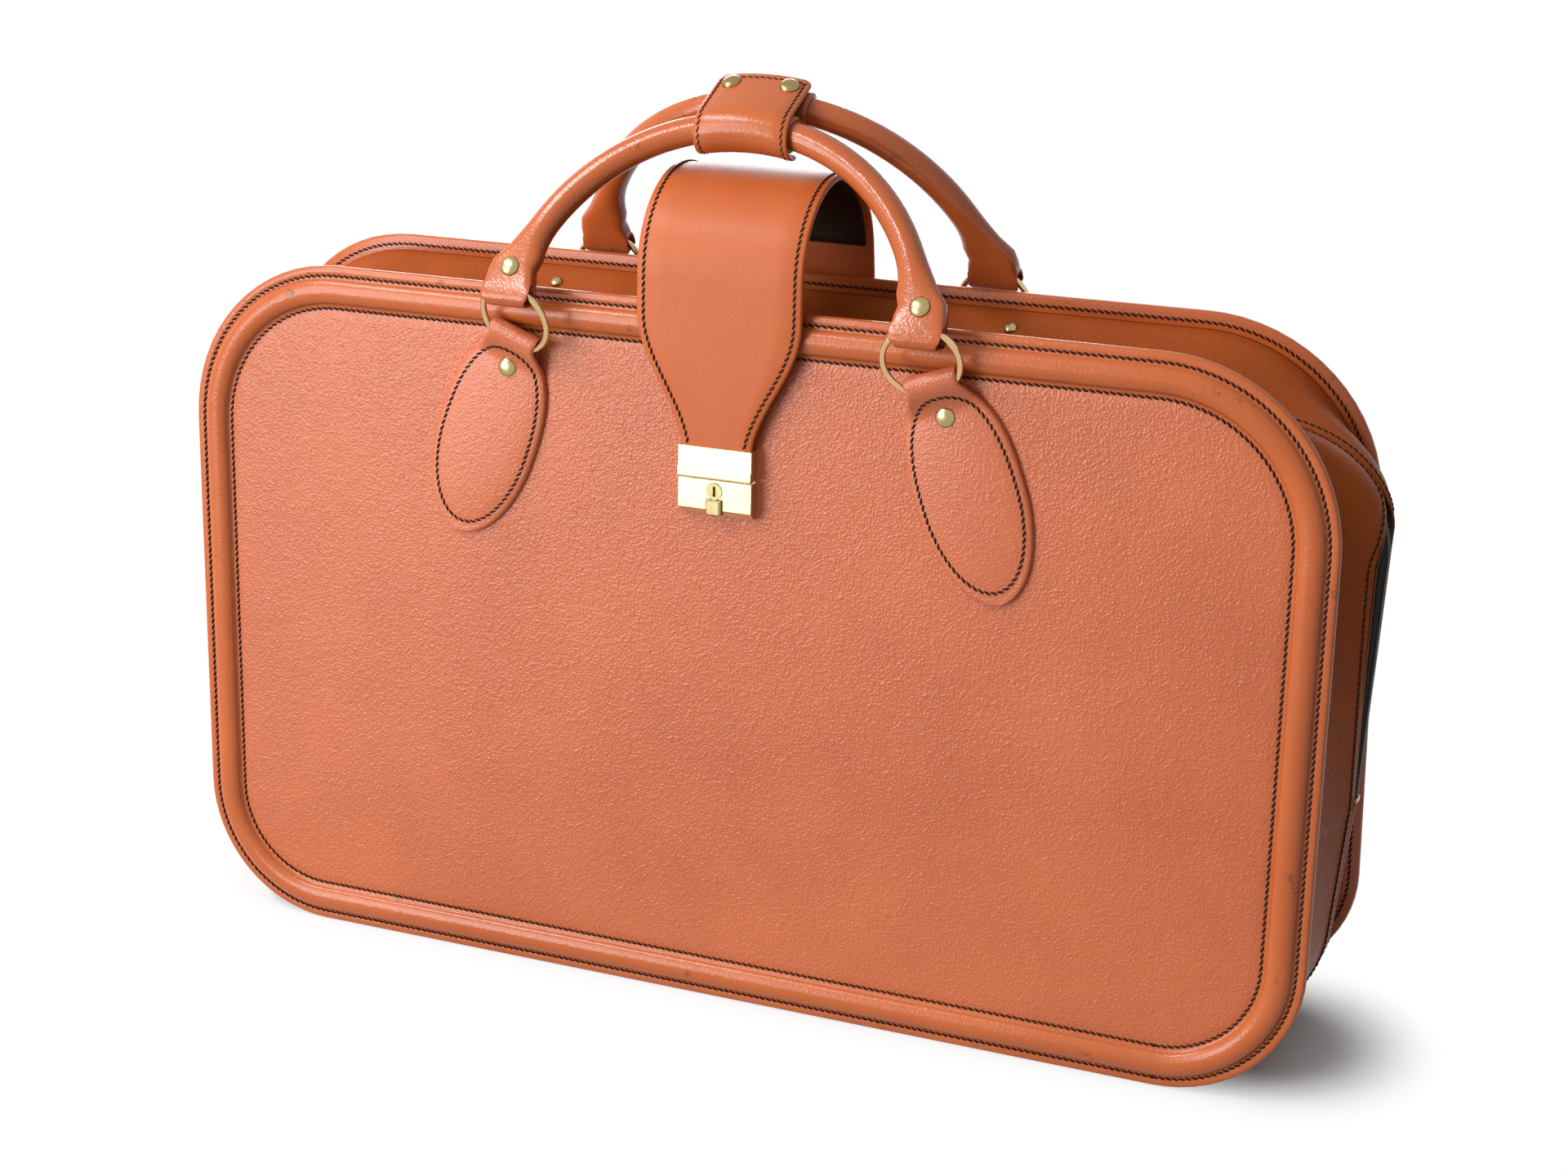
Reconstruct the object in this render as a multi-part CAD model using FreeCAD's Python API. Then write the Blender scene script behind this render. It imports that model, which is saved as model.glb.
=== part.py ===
import FreeCAD, Part
import math
import os

from FreeCAD import Vector

# Leather suitcase standing upright. X is its width, Y its depth with the front towards -Y, Z is up.
# The origin is on the floor, under the middle of the case. All sizes are in millimetres.

# Case: two stiff panels that lean together at the top
case_width = 660.0
panel_height = 393.0
top_corner_radius = 95.0
bottom_corner_radius = 77.0
depth_at_base = 143.0
depth_at_top = 88.0
panel_thickness = 5.0
lining_thickness = 1.0
lining_inset = 15.0

# Padded bead that runs round each panel
bead_inset = 14.0
bead_width = 14.0
bead_height = 5.0

# Soft gusset between the panels, with the zip along its middle
leather_thickness = 2.2
seam_inset = 9.0
seam_gap = 0.3
zip_end_height = 150.0
zip_bulge_low = 7.0
zip_bulge_high = 15.0
valley_depth = 34.0
valley_turn = 70.0
corner_steps = 6
tape_half_width = 13.0
tape_thickness = 1.2
coil_half_width = 3.4
coil_height = 3.0
coil_proud = 0.9
coil_clearance = 0.2

# Zip slider and its pull, at the low end of the left side
slider_length = 13.0
slider_half_width = 5.4
slider_wall = 1.5
slider_plate = 2.0
slider_clearance = 0.4
pin_share = 0.6
pull_pin_radius = 1.0
pull_eye_radius = 2.3
pull_half_width = 4.0
pull_length = 30.0
pull_thickness = 1.6
end_stop_height = 2.6

# Handle tabs: an oval leaf on the panel and a loop round the ring
tab_thickness = 4.5
leaf_long_radius = 57.0
leaf_short_radius = 30.5
leaf_drop = 86.0
tab_tilt = 19.5
loop_reach = 60.0
loop_width = 29.0
loop_bore_radius = 5.9
loop_wall = 2.0
loop_clearance = 0.7
ring_radius = 20.0
ring_wire_radius = 1.75
front_ring_tilt = 24.0
rear_ring_tilt = 2.0

# Carrying handles: a leather tube over a rope core
handle_radius = 7.5
handle_wall = 2.0
core_clearance = 0.2
handle_arch_radius = 116.0
handle_rise = 102.0
handle_end_reach = 18.0
handle_loop_width = 28.0
handle_loop_bore = 6.0
handle_loop_wall = 2.0
handle_end_flat = 6.3
crown_offset = 10.2

# Wrap that holds the two handles together
wrap_width = 52.0
sleeve_clearance = 0.2
sleeve_wall = 2.3
flap_clearance = 1.0
flap_thickness = 2.2
flap_overhang = 8.0
snap_spacing = 33.0
snap_edge = 8.0

# Domed brass studs
stud_radius = 5.4
stud_dome = 3.0
stud_shank_radius = 2.0
stud_shank = 3.6
tab_stud_reach = 44.5
handle_stud_reach = 12.5
handle_stud_seat = 6.4
snap_shank = 1.6
gusset_stud_radius = 3.6
gusset_stud_dome = 2.4
gusset_stud_shank = 1.4
gusset_stud_x = 134.0
gusset_stud_share = 0.6

# Closing strap, from the back panel over the top to the lock
strap_width = 94.0
strap_end_width = 41.0
strap_thickness = 3.2
strap_lining_thickness = 1.0
strap_clearance = 0.5
strap_crown_rise = 63.0
strap_flare_drop = 5.0
strap_flare_stop = 1.5
strap_end_seat = 3.6
strap_pivot_clearance = 0.3
anchor_foot_drop = 77.0
anchor_climb = 7.0
anchor_step = 3.0
lining_margin = 4.0

# Lock on the front panel and the clip on the end of the strap
lock_width = 42.0
lock_drop = 73.5
lock_height = 38.0
lock_step_height = 20.0
lock_depth = 9.5
lock_plate_depth = 4.2
lock_bevel = 4.0
hasp_gap = 0.9
hasp_top_drop = 0.5
hasp_wall = 1.2
hasp_lip = 5.5
hasp_lip_proud = 1.0
hasp_lip_round = 0.8
hasp_clearance = 0.3
key_rise = 14.1
key_radius = 4.4
key_slot_width = 1.6
key_slot_length = 5.6
key_depth = 7.5
key_proud = 0.4
button_rise = 5.5
button_size = 8.4
button_proud = 2.6
button_depth = 5.0
button_travel = 2.4
lock_fit = 0.25
lock_rivet_radius = 1.5
lock_rivet_head = 2.8
lock_rivet_inset = 5.0
back_plate_thickness = 1.2

# Worked out from the sizes above
half_width = case_width / 2
lean = math.degrees(math.asin((depth_at_base - depth_at_top) / 2 / panel_height))
loop_radius = loop_bore_radius + loop_wall
loop_offset = loop_radius + loop_clearance
handle_loop_radius = handle_loop_bore + handle_loop_wall
sleeve_inner = handle_radius + sleeve_clearance
sleeve_radius = sleeve_inner + sleeve_wall
strap_back = bead_height + strap_clearance
strap_face = strap_back + strap_thickness
strap_middle = strap_back + strap_thickness / 2
leaf_height = panel_height - leaf_drop
lock_top = panel_height - lock_drop
lock_bottom = lock_top - lock_height
lock_step = lock_bottom + lock_step_height
hasp_bottom = lock_step + hasp_gap
hasp_top = lock_top - hasp_top_drop
key_height = lock_bottom + key_rise
button_height = lock_bottom + button_rise
strap_crown_height = panel_height + strap_crown_rise
strap_flare_top = panel_height - strap_flare_drop
strap_flare_bottom = lock_top + strap_flare_stop
strap_end_height = hasp_bottom + strap_end_seat
anchor_foot_height = panel_height - anchor_foot_drop


def save(name, shape):
    """Write one piece to its own file."""
    shape.exportStep(os.path.join("parts", name + ".step"))


def group(shapes):
    """Identical pieces that share one file."""
    return Part.makeCompound(shapes)


def mirror_x(shape):
    return shape.mirror(Vector(0, 0, 0), Vector(1, 0, 0))


def mirror_y(shape):
    return shape.mirror(Vector(0, 0, 0), Vector(0, 1, 0))


def pair(shape):
    """A piece and its mirror image on the other side of the case."""
    return [shape, mirror_x(shape)]


def to_front(shape):
    """Carry a shape from the flat frame of a panel to the leaning front panel."""
    placed = shape.copy()
    placed.rotate(Vector(0, 0, 0), Vector(1, 0, 0), -lean)
    placed.translate(Vector(0, -depth_at_base / 2, 0))
    return placed


def front_point(x, y, z):
    """The same move for one point."""
    turn = FreeCAD.Rotation(Vector(1, 0, 0), -lean)
    return turn.multVec(Vector(x, y, z)) + Vector(0, -depth_at_base / 2, 0)


def box(x0, x1, y0, y1, z0, z1):
    return Part.makeBox(x1 - x0, y1 - y0, z1 - z0, Vector(x0, y0, z0))


def prism(points, direction):
    """Straight-sided solid over a closed outline of points."""
    return Part.Face(Part.makePolygon(points + points[:1])).extrude(direction)


def corner_arc(centre, radius, start):
    """Quarter circle in the XZ plane, anticlockwise from the start angle."""
    spots = []
    for angle in (start, start + 45, start + 90):
        turn = math.radians(angle)
        spots.append(centre + Vector(radius * math.cos(turn), 0, radius * math.sin(turn)))
    return Part.Arc(*spots).toShape()


def panel_outline(inset):
    """Outline of a panel drawn in by an inset, from the middle of its bottom edge."""
    side = half_width - inset
    high = panel_height - inset
    top = top_corner_radius - inset
    low = bottom_corner_radius - inset
    start = Vector(0, 0, inset)
    corners = [
        corner_arc(Vector(side - low, 0, inset + low), low, -90),
        corner_arc(Vector(side - top, 0, high - top), top, 0),
        corner_arc(Vector(-side + top, 0, high - top), top, 90),
        corner_arc(Vector(-side + low, 0, inset + low), low, 180),
    ]
    edges = []
    last = start
    for corner in corners:
        first, end = corner.Vertexes[0].Point, corner.Vertexes[-1].Point
        edges.append(Part.makeLine(last, first))
        edges.append(corner)
        last = end
    edges.append(Part.makeLine(last, start))
    return Part.Wire(edges)


def panel_sheet(inset, near, far):
    """Flat sheet in the outline of the panel, between two depths behind its face."""
    sheet = Part.Face(panel_outline(inset)).extrude(Vector(0, far - near, 0))
    sheet.translate(Vector(0, near, 0))
    return sheet


def bead():
    """Half-round padded bead, swept round the panel on its outer face."""
    low = Vector(0, 0, bead_inset - bead_width / 2)
    crest = Vector(0, -bead_height, bead_inset)
    high = Vector(0, 0, bead_inset + bead_width / 2)
    profile = Part.Wire([Part.Arc(low, crest, high).toShape(), Part.makeLine(high, low)])
    return panel_outline(bead_inset).makePipeShell([profile], True, False)


def stud(radius, dome, shank_radius, shank):
    """Domed stud with its shank, head towards -Y and its seat at the origin."""
    ball = (radius * radius + dome * dome) / (2 * dome)
    turn = math.asin(radius / ball) / 2
    rim = Vector(radius, 0, 0)
    crest = Vector(0, 0, dome)
    middle = Vector(ball * math.sin(turn), 0, dome - ball + ball * math.cos(turn))
    foot = Vector(0, 0, -shank)
    edges = [
        Part.Arc(rim, middle, crest).toShape(),
        Part.makeLine(crest, foot),
        Part.makeLine(foot, Vector(shank_radius, 0, -shank)),
        Part.makeLine(Vector(shank_radius, 0, -shank), Vector(shank_radius, 0, 0)),
        Part.makeLine(Vector(shank_radius, 0, 0), rim),
    ]
    profile = Part.Face(Part.Wire(edges))
    solid = profile.revolve(Vector(0, 0, 0), Vector(0, 0, 1), 360)
    solid.rotate(Vector(0, 0, 0), Vector(1, 0, 0), 90)
    return solid


# Gusset: every station of the rim has its seam point, the outward direction and the rise of the middle


def zip_offset(height):
    """How far the zip stands outside the panel outline on the straight side."""
    corner = panel_height - top_corner_radius
    share = (height - zip_end_height) / (corner - zip_end_height)
    return zip_bulge_low + (zip_bulge_high - zip_bulge_low) * share


def station(x, z, angle, offset):
    """Seam point on the front panel and what the gusset needs to know there."""
    turn = math.radians(angle)
    out = Vector(math.cos(turn), 0, math.sin(turn))
    seam = front_point(x - out.x * seam_inset, panel_thickness, z - out.z * seam_inset)
    return {"seam": seam, "out": out, "rise": offset + seam_inset}


def mirrored(spot):
    """The same station on the other side of the case."""
    seam = Vector(-spot["seam"].x, spot["seam"].y, spot["seam"].z)
    return {"seam": seam, "out": Vector(-spot["out"].x, 0, spot["out"].z), "rise": spot["rise"]}


def upper_half(start):
    """Stations from a height on the right side up to the end of the top right corner."""
    corner = panel_height - top_corner_radius
    centre_x = half_width - top_corner_radius
    spots = [station(half_width, start, 0, zip_offset(start))]
    spots.append(station(half_width, corner, 0, zip_bulge_high))
    for step in range(1, corner_steps + 1):
        angle = 90.0 * step / corner_steps
        share = (1 - math.cos(math.pi * min(1.0, angle / valley_turn))) / 2
        offset = zip_bulge_high - (zip_bulge_high + valley_depth) * share
        turn = math.radians(angle)
        x = centre_x + top_corner_radius * math.cos(turn)
        z = corner + top_corner_radius * math.sin(turn)
        spots.append(station(x, z, angle, offset))
    return spots


def upper_stations(right_start, left_start):
    """Stations over the top, from the right end of the zip to the left end."""
    left = [mirrored(spot) for spot in upper_half(left_start)]
    return upper_half(right_start) + left[::-1]


def lower_stations():
    """Stations round the bottom, from the right end of the zip to the left end."""
    centre_x = half_width - bottom_corner_radius
    top = zip_end_height - seam_gap
    half = [station(half_width, top, 0, zip_bulge_low)]
    for step in range(corner_steps + 1):
        share = step / corner_steps
        angle = -90.0 * share
        turn = math.radians(angle)
        x = centre_x + bottom_corner_radius * math.cos(turn)
        z = bottom_corner_radius + bottom_corner_radius * math.sin(turn)
        offset = -seam_inset + (1 - share) * (zip_bulge_low + seam_inset) / 2
        half.append(station(x, z, angle, offset))
    return half + [mirrored(spot) for spot in half][::-1]


def band(stations, outline):
    """Strip that follows the rim; the outline gives each section as depth and height over the seam."""
    sections = []
    for spot in stations:
        base = Vector(spot["seam"].x, 0, spot["seam"].z)
        corners = []
        for depth, height in outline(spot):
            corners.append(base + spot["out"] * height + Vector(0, depth, 0))
        sections.append(Part.makePolygon(corners + corners[:1]))
    return Part.makeLoft(sections, True, True)


def front_strip(spot):
    y, rise = spot["seam"].y, spot["rise"]
    inner = rise - leather_thickness
    return [(y, 0), (-tape_half_width, rise), (-tape_half_width, inner), (y, -leather_thickness)]


def front_tape(spot):
    high = spot["rise"] - (leather_thickness - tape_thickness) / 2
    low = high - tape_thickness
    near, far = -tape_half_width, -coil_half_width
    return [(near, high), (far, high), (far, low), (near, low)]


def front_coil(spot):
    high = spot["rise"] + coil_proud
    low = high - coil_height
    near, far = -coil_half_width, -coil_clearance
    return [(near, high), (far, high), (far, low), (near, low)]


def base_strip(spot):
    y, rise = spot["seam"].y + seam_gap, spot["rise"]
    inner = rise - leather_thickness
    low = -leather_thickness
    return [(y, 0), (0, rise), (-y, 0), (-y, low), (0, inner), (y, low)]


def zip_line(height):
    """Point on the middle line of the zip, on the right side of the case."""
    spot = station(half_width, height, 0, zip_offset(height))
    return Vector(spot["seam"].x + spot["rise"], 0, spot["seam"].z)


def zip_tilt():
    """Angle of the side zip from upright."""
    run = zip_line(panel_height - top_corner_radius) - zip_line(zip_end_height)
    return math.degrees(math.atan2(run.x, run.z))


slider_foot = zip_end_height + end_stop_height + slider_clearance
coil_left_start = slider_foot + slider_length + slider_clearance
coil_right_start = zip_end_height + end_stop_height + slider_clearance
pin_out = coil_proud + slider_clearance + slider_plate + pull_eye_radius + slider_clearance
pin_up = slider_length * pin_share


def on_slider(shape, tilt):
    """Carry a piece from the slider's own frame, with X outwards, to the left side of the case."""
    shape.rotate(Vector(0, 0, 0), Vector(0, 1, 0), tilt)
    shape.translate(zip_line(slider_foot))
    return mirror_x(shape)


def zip_slider():
    """Saddle over the zip with two ears and the pin for the pull."""
    under = coil_proud + slider_clearance
    top = under + slider_plate
    w = slider_half_width
    solid = box(under, top, -w, w, 0, slider_length)
    for near in (-w, w - slider_wall):
        lip = box(slider_clearance - tape_thickness / 2, under, near, near + slider_wall, 0, slider_length)
        solid = solid.fuse(lip)
    ear = pull_eye_radius + slider_clearance
    for side in (-1, 1):
        near = side * ear - slider_wall / 2 + side * slider_wall / 2
        tip = pin_out + pull_pin_radius + slider_plate / 2
        block = box(top, tip, near, near + slider_wall, pin_up - ear, pin_up + ear)
        solid = solid.fuse(block)
    reach = ear + slider_wall
    pin = Part.makeCylinder(pull_pin_radius, 2 * reach, Vector(pin_out, -reach, pin_up), Vector(0, 1, 0))
    return on_slider(solid.fuse(pin).removeSplitter(), zip_tilt())


def pin_point():
    """Middle of the pull's pin, in the slider's frame turned with the zip."""
    turn = FreeCAD.Rotation(Vector(0, 1, 0), zip_tilt())
    return turn.multVec(Vector(pin_out, 0, pin_up))


def zip_pull():
    """Flat pull that hangs straight down from its eye."""
    pin = pin_point()
    half_eye = pull_eye_radius
    axis = Vector(0, 1, 0)
    solid = Part.makeCylinder(pull_eye_radius, 2 * half_eye, pin - axis * half_eye, axis)
    x0 = pin.x - pull_thickness / 2
    neck_end = pin.z - pin_up - pull_eye_radius
    half_neck = half_eye - slider_clearance
    neck = box(x0, x0 + pull_thickness, -half_neck, half_neck, neck_end, pin.z)
    blade_end = pin.z - pull_length + pull_half_width
    blade = box(x0, x0 + pull_thickness, -pull_half_width, pull_half_width, blade_end, neck_end)
    tip = Part.makeCylinder(pull_half_width, pull_thickness, Vector(x0, 0, blade_end), Vector(1, 0, 0))
    solid = solid.fuse(neck).fuse(blade).fuse(tip)
    bore = pull_pin_radius + slider_clearance
    hole = Part.makeCylinder(bore, 4 * half_eye, pin - axis * 2 * half_eye, axis)
    return on_slider(solid.cut(hole).removeSplitter(), 0)


def end_stops():
    """Small metal bars that close the two ends of the zip."""
    spot = station(half_width, zip_end_height, 0, zip_bulge_low)
    foot = Vector(spot["seam"].x + spot["rise"], 0, spot["seam"].z)
    bar = box(-coil_height, coil_proud, -coil_half_width, coil_half_width, 0, end_stop_height)
    bar.translate(foot)
    return group(pair(bar))


# Tabs and rings, drawn upright about the middle of the leaf and then tilted on the panel


def leaf_tangent():
    """Point where a straight neck edge from the loop meets the oval leaf."""
    a, b = leaf_long_radius, leaf_short_radius
    v, d = loop_width / 2, loop_reach
    k = b * b * d / (a * a * v)
    c = b * b / v
    qa = k * k / (b * b) + 1 / (a * a)
    qb = -2 * c * k / (b * b)
    qc = c * c / (b * b) - 1
    reach = (-qb - math.sqrt(qb * qb - 4 * qa * qc)) / (2 * qa)
    return c - k * reach, reach


def leaf_x():
    """Sideways place of the leaf that brings its ring under the end of the handle."""
    return handle_end_x() + math.sin(math.radians(tab_tilt)) * ring_reach(front_ring_tilt)


def ring_lift():
    """Distance from a loop's middle to the middle of the ring that it holds."""
    half = loop_width / 2
    sag = ring_radius - math.sqrt(ring_radius * ring_radius - half * half)
    return ring_radius - sag / 2


def ring_reach(tilt):
    return loop_reach + ring_lift() * math.cos(math.radians(tilt))


def on_panel(shape):
    """Tilt an upright tab piece and set it at its place on the right of the panel."""
    shape.rotate(Vector(0, 0, 0), Vector(0, 1, 0), -tab_tilt)
    shape.translate(Vector(leaf_x(), 0, leaf_height))
    return shape


def tab():
    """Oval leaf, tapering neck and the loop round the ring, with the stud's hole."""
    oval = Part.Ellipse(Vector(0, 0, leaf_long_radius), Vector(leaf_short_radius, 0, 0), Vector(0, 0, 0))
    out = Vector(0, -tab_thickness, 0)
    leaf = Part.Face(Part.Wire(oval.toShape())).extrude(out)
    wide, low = leaf_tangent()
    half = loop_width / 2
    corners = [(-half, loop_reach), (half, loop_reach), (wide, low), (-wide, low)]
    neck = prism([Vector(x, 0, z) for x, z in corners], out)
    middle = Vector(-half, -loop_offset, loop_reach)
    loop = Part.makeCylinder(loop_radius, loop_width, middle, Vector(1, 0, 0))
    bore = Part.makeCylinder(loop_bore_radius, loop_width, middle, Vector(1, 0, 0))
    solid = leaf.fuse(neck).fuse(loop).removeSplitter().cut(bore)
    return on_panel(solid.cut(tab_stud_shape()))


def tab_stud_shape():
    shape = stud(stud_radius, stud_dome, stud_shank_radius, stud_shank)
    shape.translate(Vector(0, -tab_thickness, tab_stud_reach))
    return shape


def ring(tilt):
    """Round wire ring through the tab's loop, leaning out at the top."""
    turn = math.radians(tilt)
    lift = ring_lift()
    middle = Vector(0, -loop_offset - lift * math.sin(turn), loop_reach + lift * math.cos(turn))
    normal = Vector(0, math.cos(turn), math.sin(turn))
    return on_panel(Part.makeTorus(ring_radius, ring_wire_radius, middle, normal))


def handle_pivot(tilt):
    """Middle of the handle's end loop on the right ring, in the world."""
    turn = math.radians(tilt)
    lift = ring_lift()
    swing = FreeCAD.Rotation(Vector(0, 1, 0), -tab_tilt)
    middle = Vector(0, -loop_offset - lift * math.sin(turn), loop_reach + lift * math.cos(turn))
    normal = swing.multVec(Vector(0, math.cos(turn), math.sin(turn)))
    up = Vector(1, 0, 0).cross(normal)
    up.normalize()
    if up.z < 0:
        up = up * -1
    spot = swing.multVec(middle) + Vector(leaf_x(), 0, leaf_height) + up * lift
    return front_point(spot.x, spot.y, spot.z)


# Handles, drawn upright in the XZ plane with the loops' axis at the origin


def handle_end_x():
    """Sideways place of the handle's end loops."""
    drop = handle_arch_radius - handle_rise
    return math.sqrt(handle_arch_radius * handle_arch_radius - drop * drop)


def arch_angle(height):
    """Angle of the arch from its crown, in degrees, at a height over the loops."""
    return math.degrees(math.acos((height - handle_rise + handle_arch_radius) / handle_arch_radius))


def arch_tube(outer, inner, angle):
    """Round tube along the arch, up to an angle each side of the crown."""
    axis = Vector(0, 1, 0)
    centre = Vector(0, 0, handle_rise - handle_arch_radius)
    crown = Vector(0, 0, handle_rise)
    face = Part.Face(Part.Wire(Part.makeCircle(outer, crown, Vector(1, 0, 0))))
    if inner:
        hole = Part.Face(Part.Wire(Part.makeCircle(inner, crown, Vector(1, 0, 0))))
        face = face.cut(hole).Faces[0]
    face.rotate(centre, axis, -angle)
    return face.revolve(centre, axis, 2 * angle)


def handle_end():
    """Right end of the handle, flattened from the round tube to the loop."""
    angle = arch_angle(handle_end_reach)
    turn = math.radians(angle)
    foot = Vector(handle_end_x(), 0, 0)
    centre = Vector(0, 0, handle_rise - handle_arch_radius)
    spot = centre + Vector(math.sin(turn), 0, math.cos(turn)) * handle_arch_radius
    round_end = Part.makeCircle(handle_radius)
    round_end.rotate(Vector(0, 0, 0), Vector(0, 1, 0), angle - 90)
    round_end.translate(spot)
    flat_end = Part.Ellipse(Vector(0, 0, 0), handle_loop_width / 2, handle_end_flat).toShape()
    flat_end.translate(foot + Vector(0, 0, handle_loop_radius / 2))
    skin = Part.makeRuledSurface(flat_end, round_end)
    ends = [Part.Face(Part.Wire(edge)) for edge in (flat_end, round_end)]
    taper = Part.Solid(Part.Shell(skin.Faces + ends))
    start = foot - Vector(handle_loop_width / 2, 0, 0)
    loop = Part.makeCylinder(handle_loop_radius, handle_loop_width, start, Vector(1, 0, 0))
    bore = Part.makeCylinder(handle_loop_bore, handle_loop_width, start, Vector(1, 0, 0))
    return taper.fuse(loop).cut(bore)


def handle_stud_shape():
    """Stud through the flattened end, on its outer face."""
    turn = math.radians(arch_angle(handle_stud_reach))
    shape = stud(stud_radius, stud_dome, stud_shank_radius, stud_shank)
    shape.translate(Vector(handle_arch_radius * math.sin(turn), -handle_stud_seat, handle_stud_reach))
    return shape


def handle():
    """Leather tube with its two flattened ends."""
    angle = arch_angle(handle_end_reach)
    tube = arch_tube(handle_radius, handle_radius - handle_wall, angle)
    solid = tube.fuse(pair(handle_end())).removeSplitter()
    return solid.cut(group(pair(handle_stud_shape())))


def handle_core():
    return arch_tube(handle_radius - handle_wall - core_clearance, 0, arch_angle(handle_end_reach))


def sleeve():
    """Short leather tube round the crown of a handle."""
    angle = math.degrees(math.asin(wrap_width / 2 / handle_arch_radius))
    return arch_tube(sleeve_radius, sleeve_inner, angle)


def handle_lean(tilt):
    """How far a handle leans in from upright, in degrees."""
    reach = -handle_pivot(tilt).y - crown_offset
    return math.degrees(math.asin(reach / handle_rise))


def lean_handle(shape, tilt):
    """Set an upright handle piece on the front rings, leaning in."""
    pivot = handle_pivot(tilt)
    placed = shape.copy()
    placed.rotate(Vector(0, 0, 0), Vector(1, 0, 0), -handle_lean(tilt))
    placed.translate(Vector(0, pivot.y, pivot.z))
    return placed


def crown_point(tilt):
    """Middle of a leaning handle's crown, on the front side."""
    pivot = handle_pivot(tilt)
    turn = math.radians(handle_lean(tilt))
    return Vector(0, pivot.y + handle_rise * math.sin(turn), pivot.z + handle_rise * math.cos(turn))


# The flap lies on both sleeves, curved like the crown of the handles


def flap_frame():
    """Crown of the front handle, the way along the flap and the way up from it."""
    front = crown_point(front_ring_tilt)
    rear = crown_point(rear_ring_tilt)
    along = Vector(0, -rear.y - front.y, rear.z - front.z)
    span = along.Length
    along.normalize()
    up = Vector(1, 0, 0).cross(along)
    return front, along, up, span


def flap_sheet():
    """Curved sheet from over the front handle to behind the rear one."""
    front, along, up, span = flap_frame()
    low = sleeve_radius + flap_clearance
    centre = front - up * handle_arch_radius
    edges = []
    turn = math.asin(wrap_width / 2 / handle_arch_radius)
    rims = []
    for radius in (handle_arch_radius + low, handle_arch_radius + low + flap_thickness):
        spots = []
        for angle in (-turn, 0, turn):
            spots.append(centre + Vector(1, 0, 0) * radius * math.sin(angle) + up * radius * math.cos(angle))
        edges.append(Part.Arc(*spots).toShape())
        rims.append(spots)
    edges.append(Part.makeLine(rims[0][0], rims[1][0]))
    edges.append(Part.makeLine(rims[0][2], rims[1][2]))
    face = Part.Face(Part.Wire(Part.__sortEdges__(edges)))
    return face.extrude(along * (span + flap_overhang))


def snap_shapes():
    """Two domed snap caps near the free edge of the flap."""
    front, along, up, span = flap_frame()
    radius = handle_arch_radius + sleeve_radius + flap_clearance + flap_thickness
    turn = math.asin(snap_spacing / 2 / radius)
    caps = []
    for side in (-1, 1):
        shape = stud(stud_radius, stud_dome, stud_shank_radius, snap_shank)
        shape.rotate(Vector(0, 0, 0), Vector(1, 0, 0), -90)
        shape.rotate(Vector(0, 0, 0), Vector(0, 1, 0), side * math.degrees(turn))
        shape.rotate(Vector(0, 0, 0), Vector(1, 0, 0), math.degrees(math.atan2(along.z, along.y)))
        spot = front + along * (span + flap_overhang - snap_edge) - up * handle_arch_radius
        spot = spot + Vector(1, 0, 0) * side * radius * math.sin(turn) + up * radius * math.cos(turn)
        shape.translate(spot)
        caps.append(shape)
    return caps


def gusset_studs():
    """Two small studs on the slope of the back gusset."""
    spot = station(0, panel_height, 90, -valley_depth)
    run = Vector(0, -tape_half_width - spot["seam"].y, spot["rise"])
    foot = spot["seam"] + run * (1 - gusset_stud_share)
    shape = stud(gusset_stud_radius, gusset_stud_dome, stud_shank_radius, gusset_stud_shank)
    shape.rotate(Vector(0, 0, 0), Vector(1, 0, 0), -90)
    shape.rotate(Vector(0, 0, 0), Vector(1, 0, 0), math.degrees(math.atan2(run.z, run.y)))
    shape.translate(foot + Vector(gusset_stud_x, 0, 0))
    return [mirror_y(piece) for piece in pair(shape)]


# Strap: two straight legs along the panels, joined by a round arch


def arch_of_strap():
    """Height of the arch's centre and its radius, for the middle of the strap."""
    turn = math.radians(lean)
    reach = (depth_at_base / 2) * math.cos(turn) + strap_middle
    crown = strap_crown_height - strap_thickness / 2
    radius = (reach - crown * math.sin(turn)) / (1 - math.sin(turn))
    return crown - radius, radius


def strap_outline(low, high, foot, stop):
    """Side view of the front half of a strap layer, from its foot to an angle short of the crown."""
    height, radius = arch_of_strap()
    turn = math.radians(lean)
    along = Vector(0, math.sin(turn), math.cos(turn))
    centre = Vector(0, 0, height)
    rims = []
    for offset in (low, high):
        r = radius + offset
        spots = []
        for angle in (turn, (turn + math.pi / 2 - stop) / 2, math.pi / 2 - stop):
            spots.append(centre + Vector(0, -r * math.cos(angle), r * math.sin(angle)))
        start = spots[0]
        tangent = (start.y + depth_at_base / 2) * math.sin(turn) + start.z * math.cos(turn)
        rims.append([start - along * (tangent - foot)] + spots)
    edges = []
    for end, start, middle, crown in rims:
        edges.append(Part.makeLine(end, start))
        edges.append(Part.Arc(start, middle, crown).toShape())
    edges.append(Part.makeLine(rims[0][0], rims[1][0]))
    edges.append(Part.makeLine(rims[0][3], rims[1][3]))
    return Part.Face(Part.Wire(Part.__sortEdges__(edges)))


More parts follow.
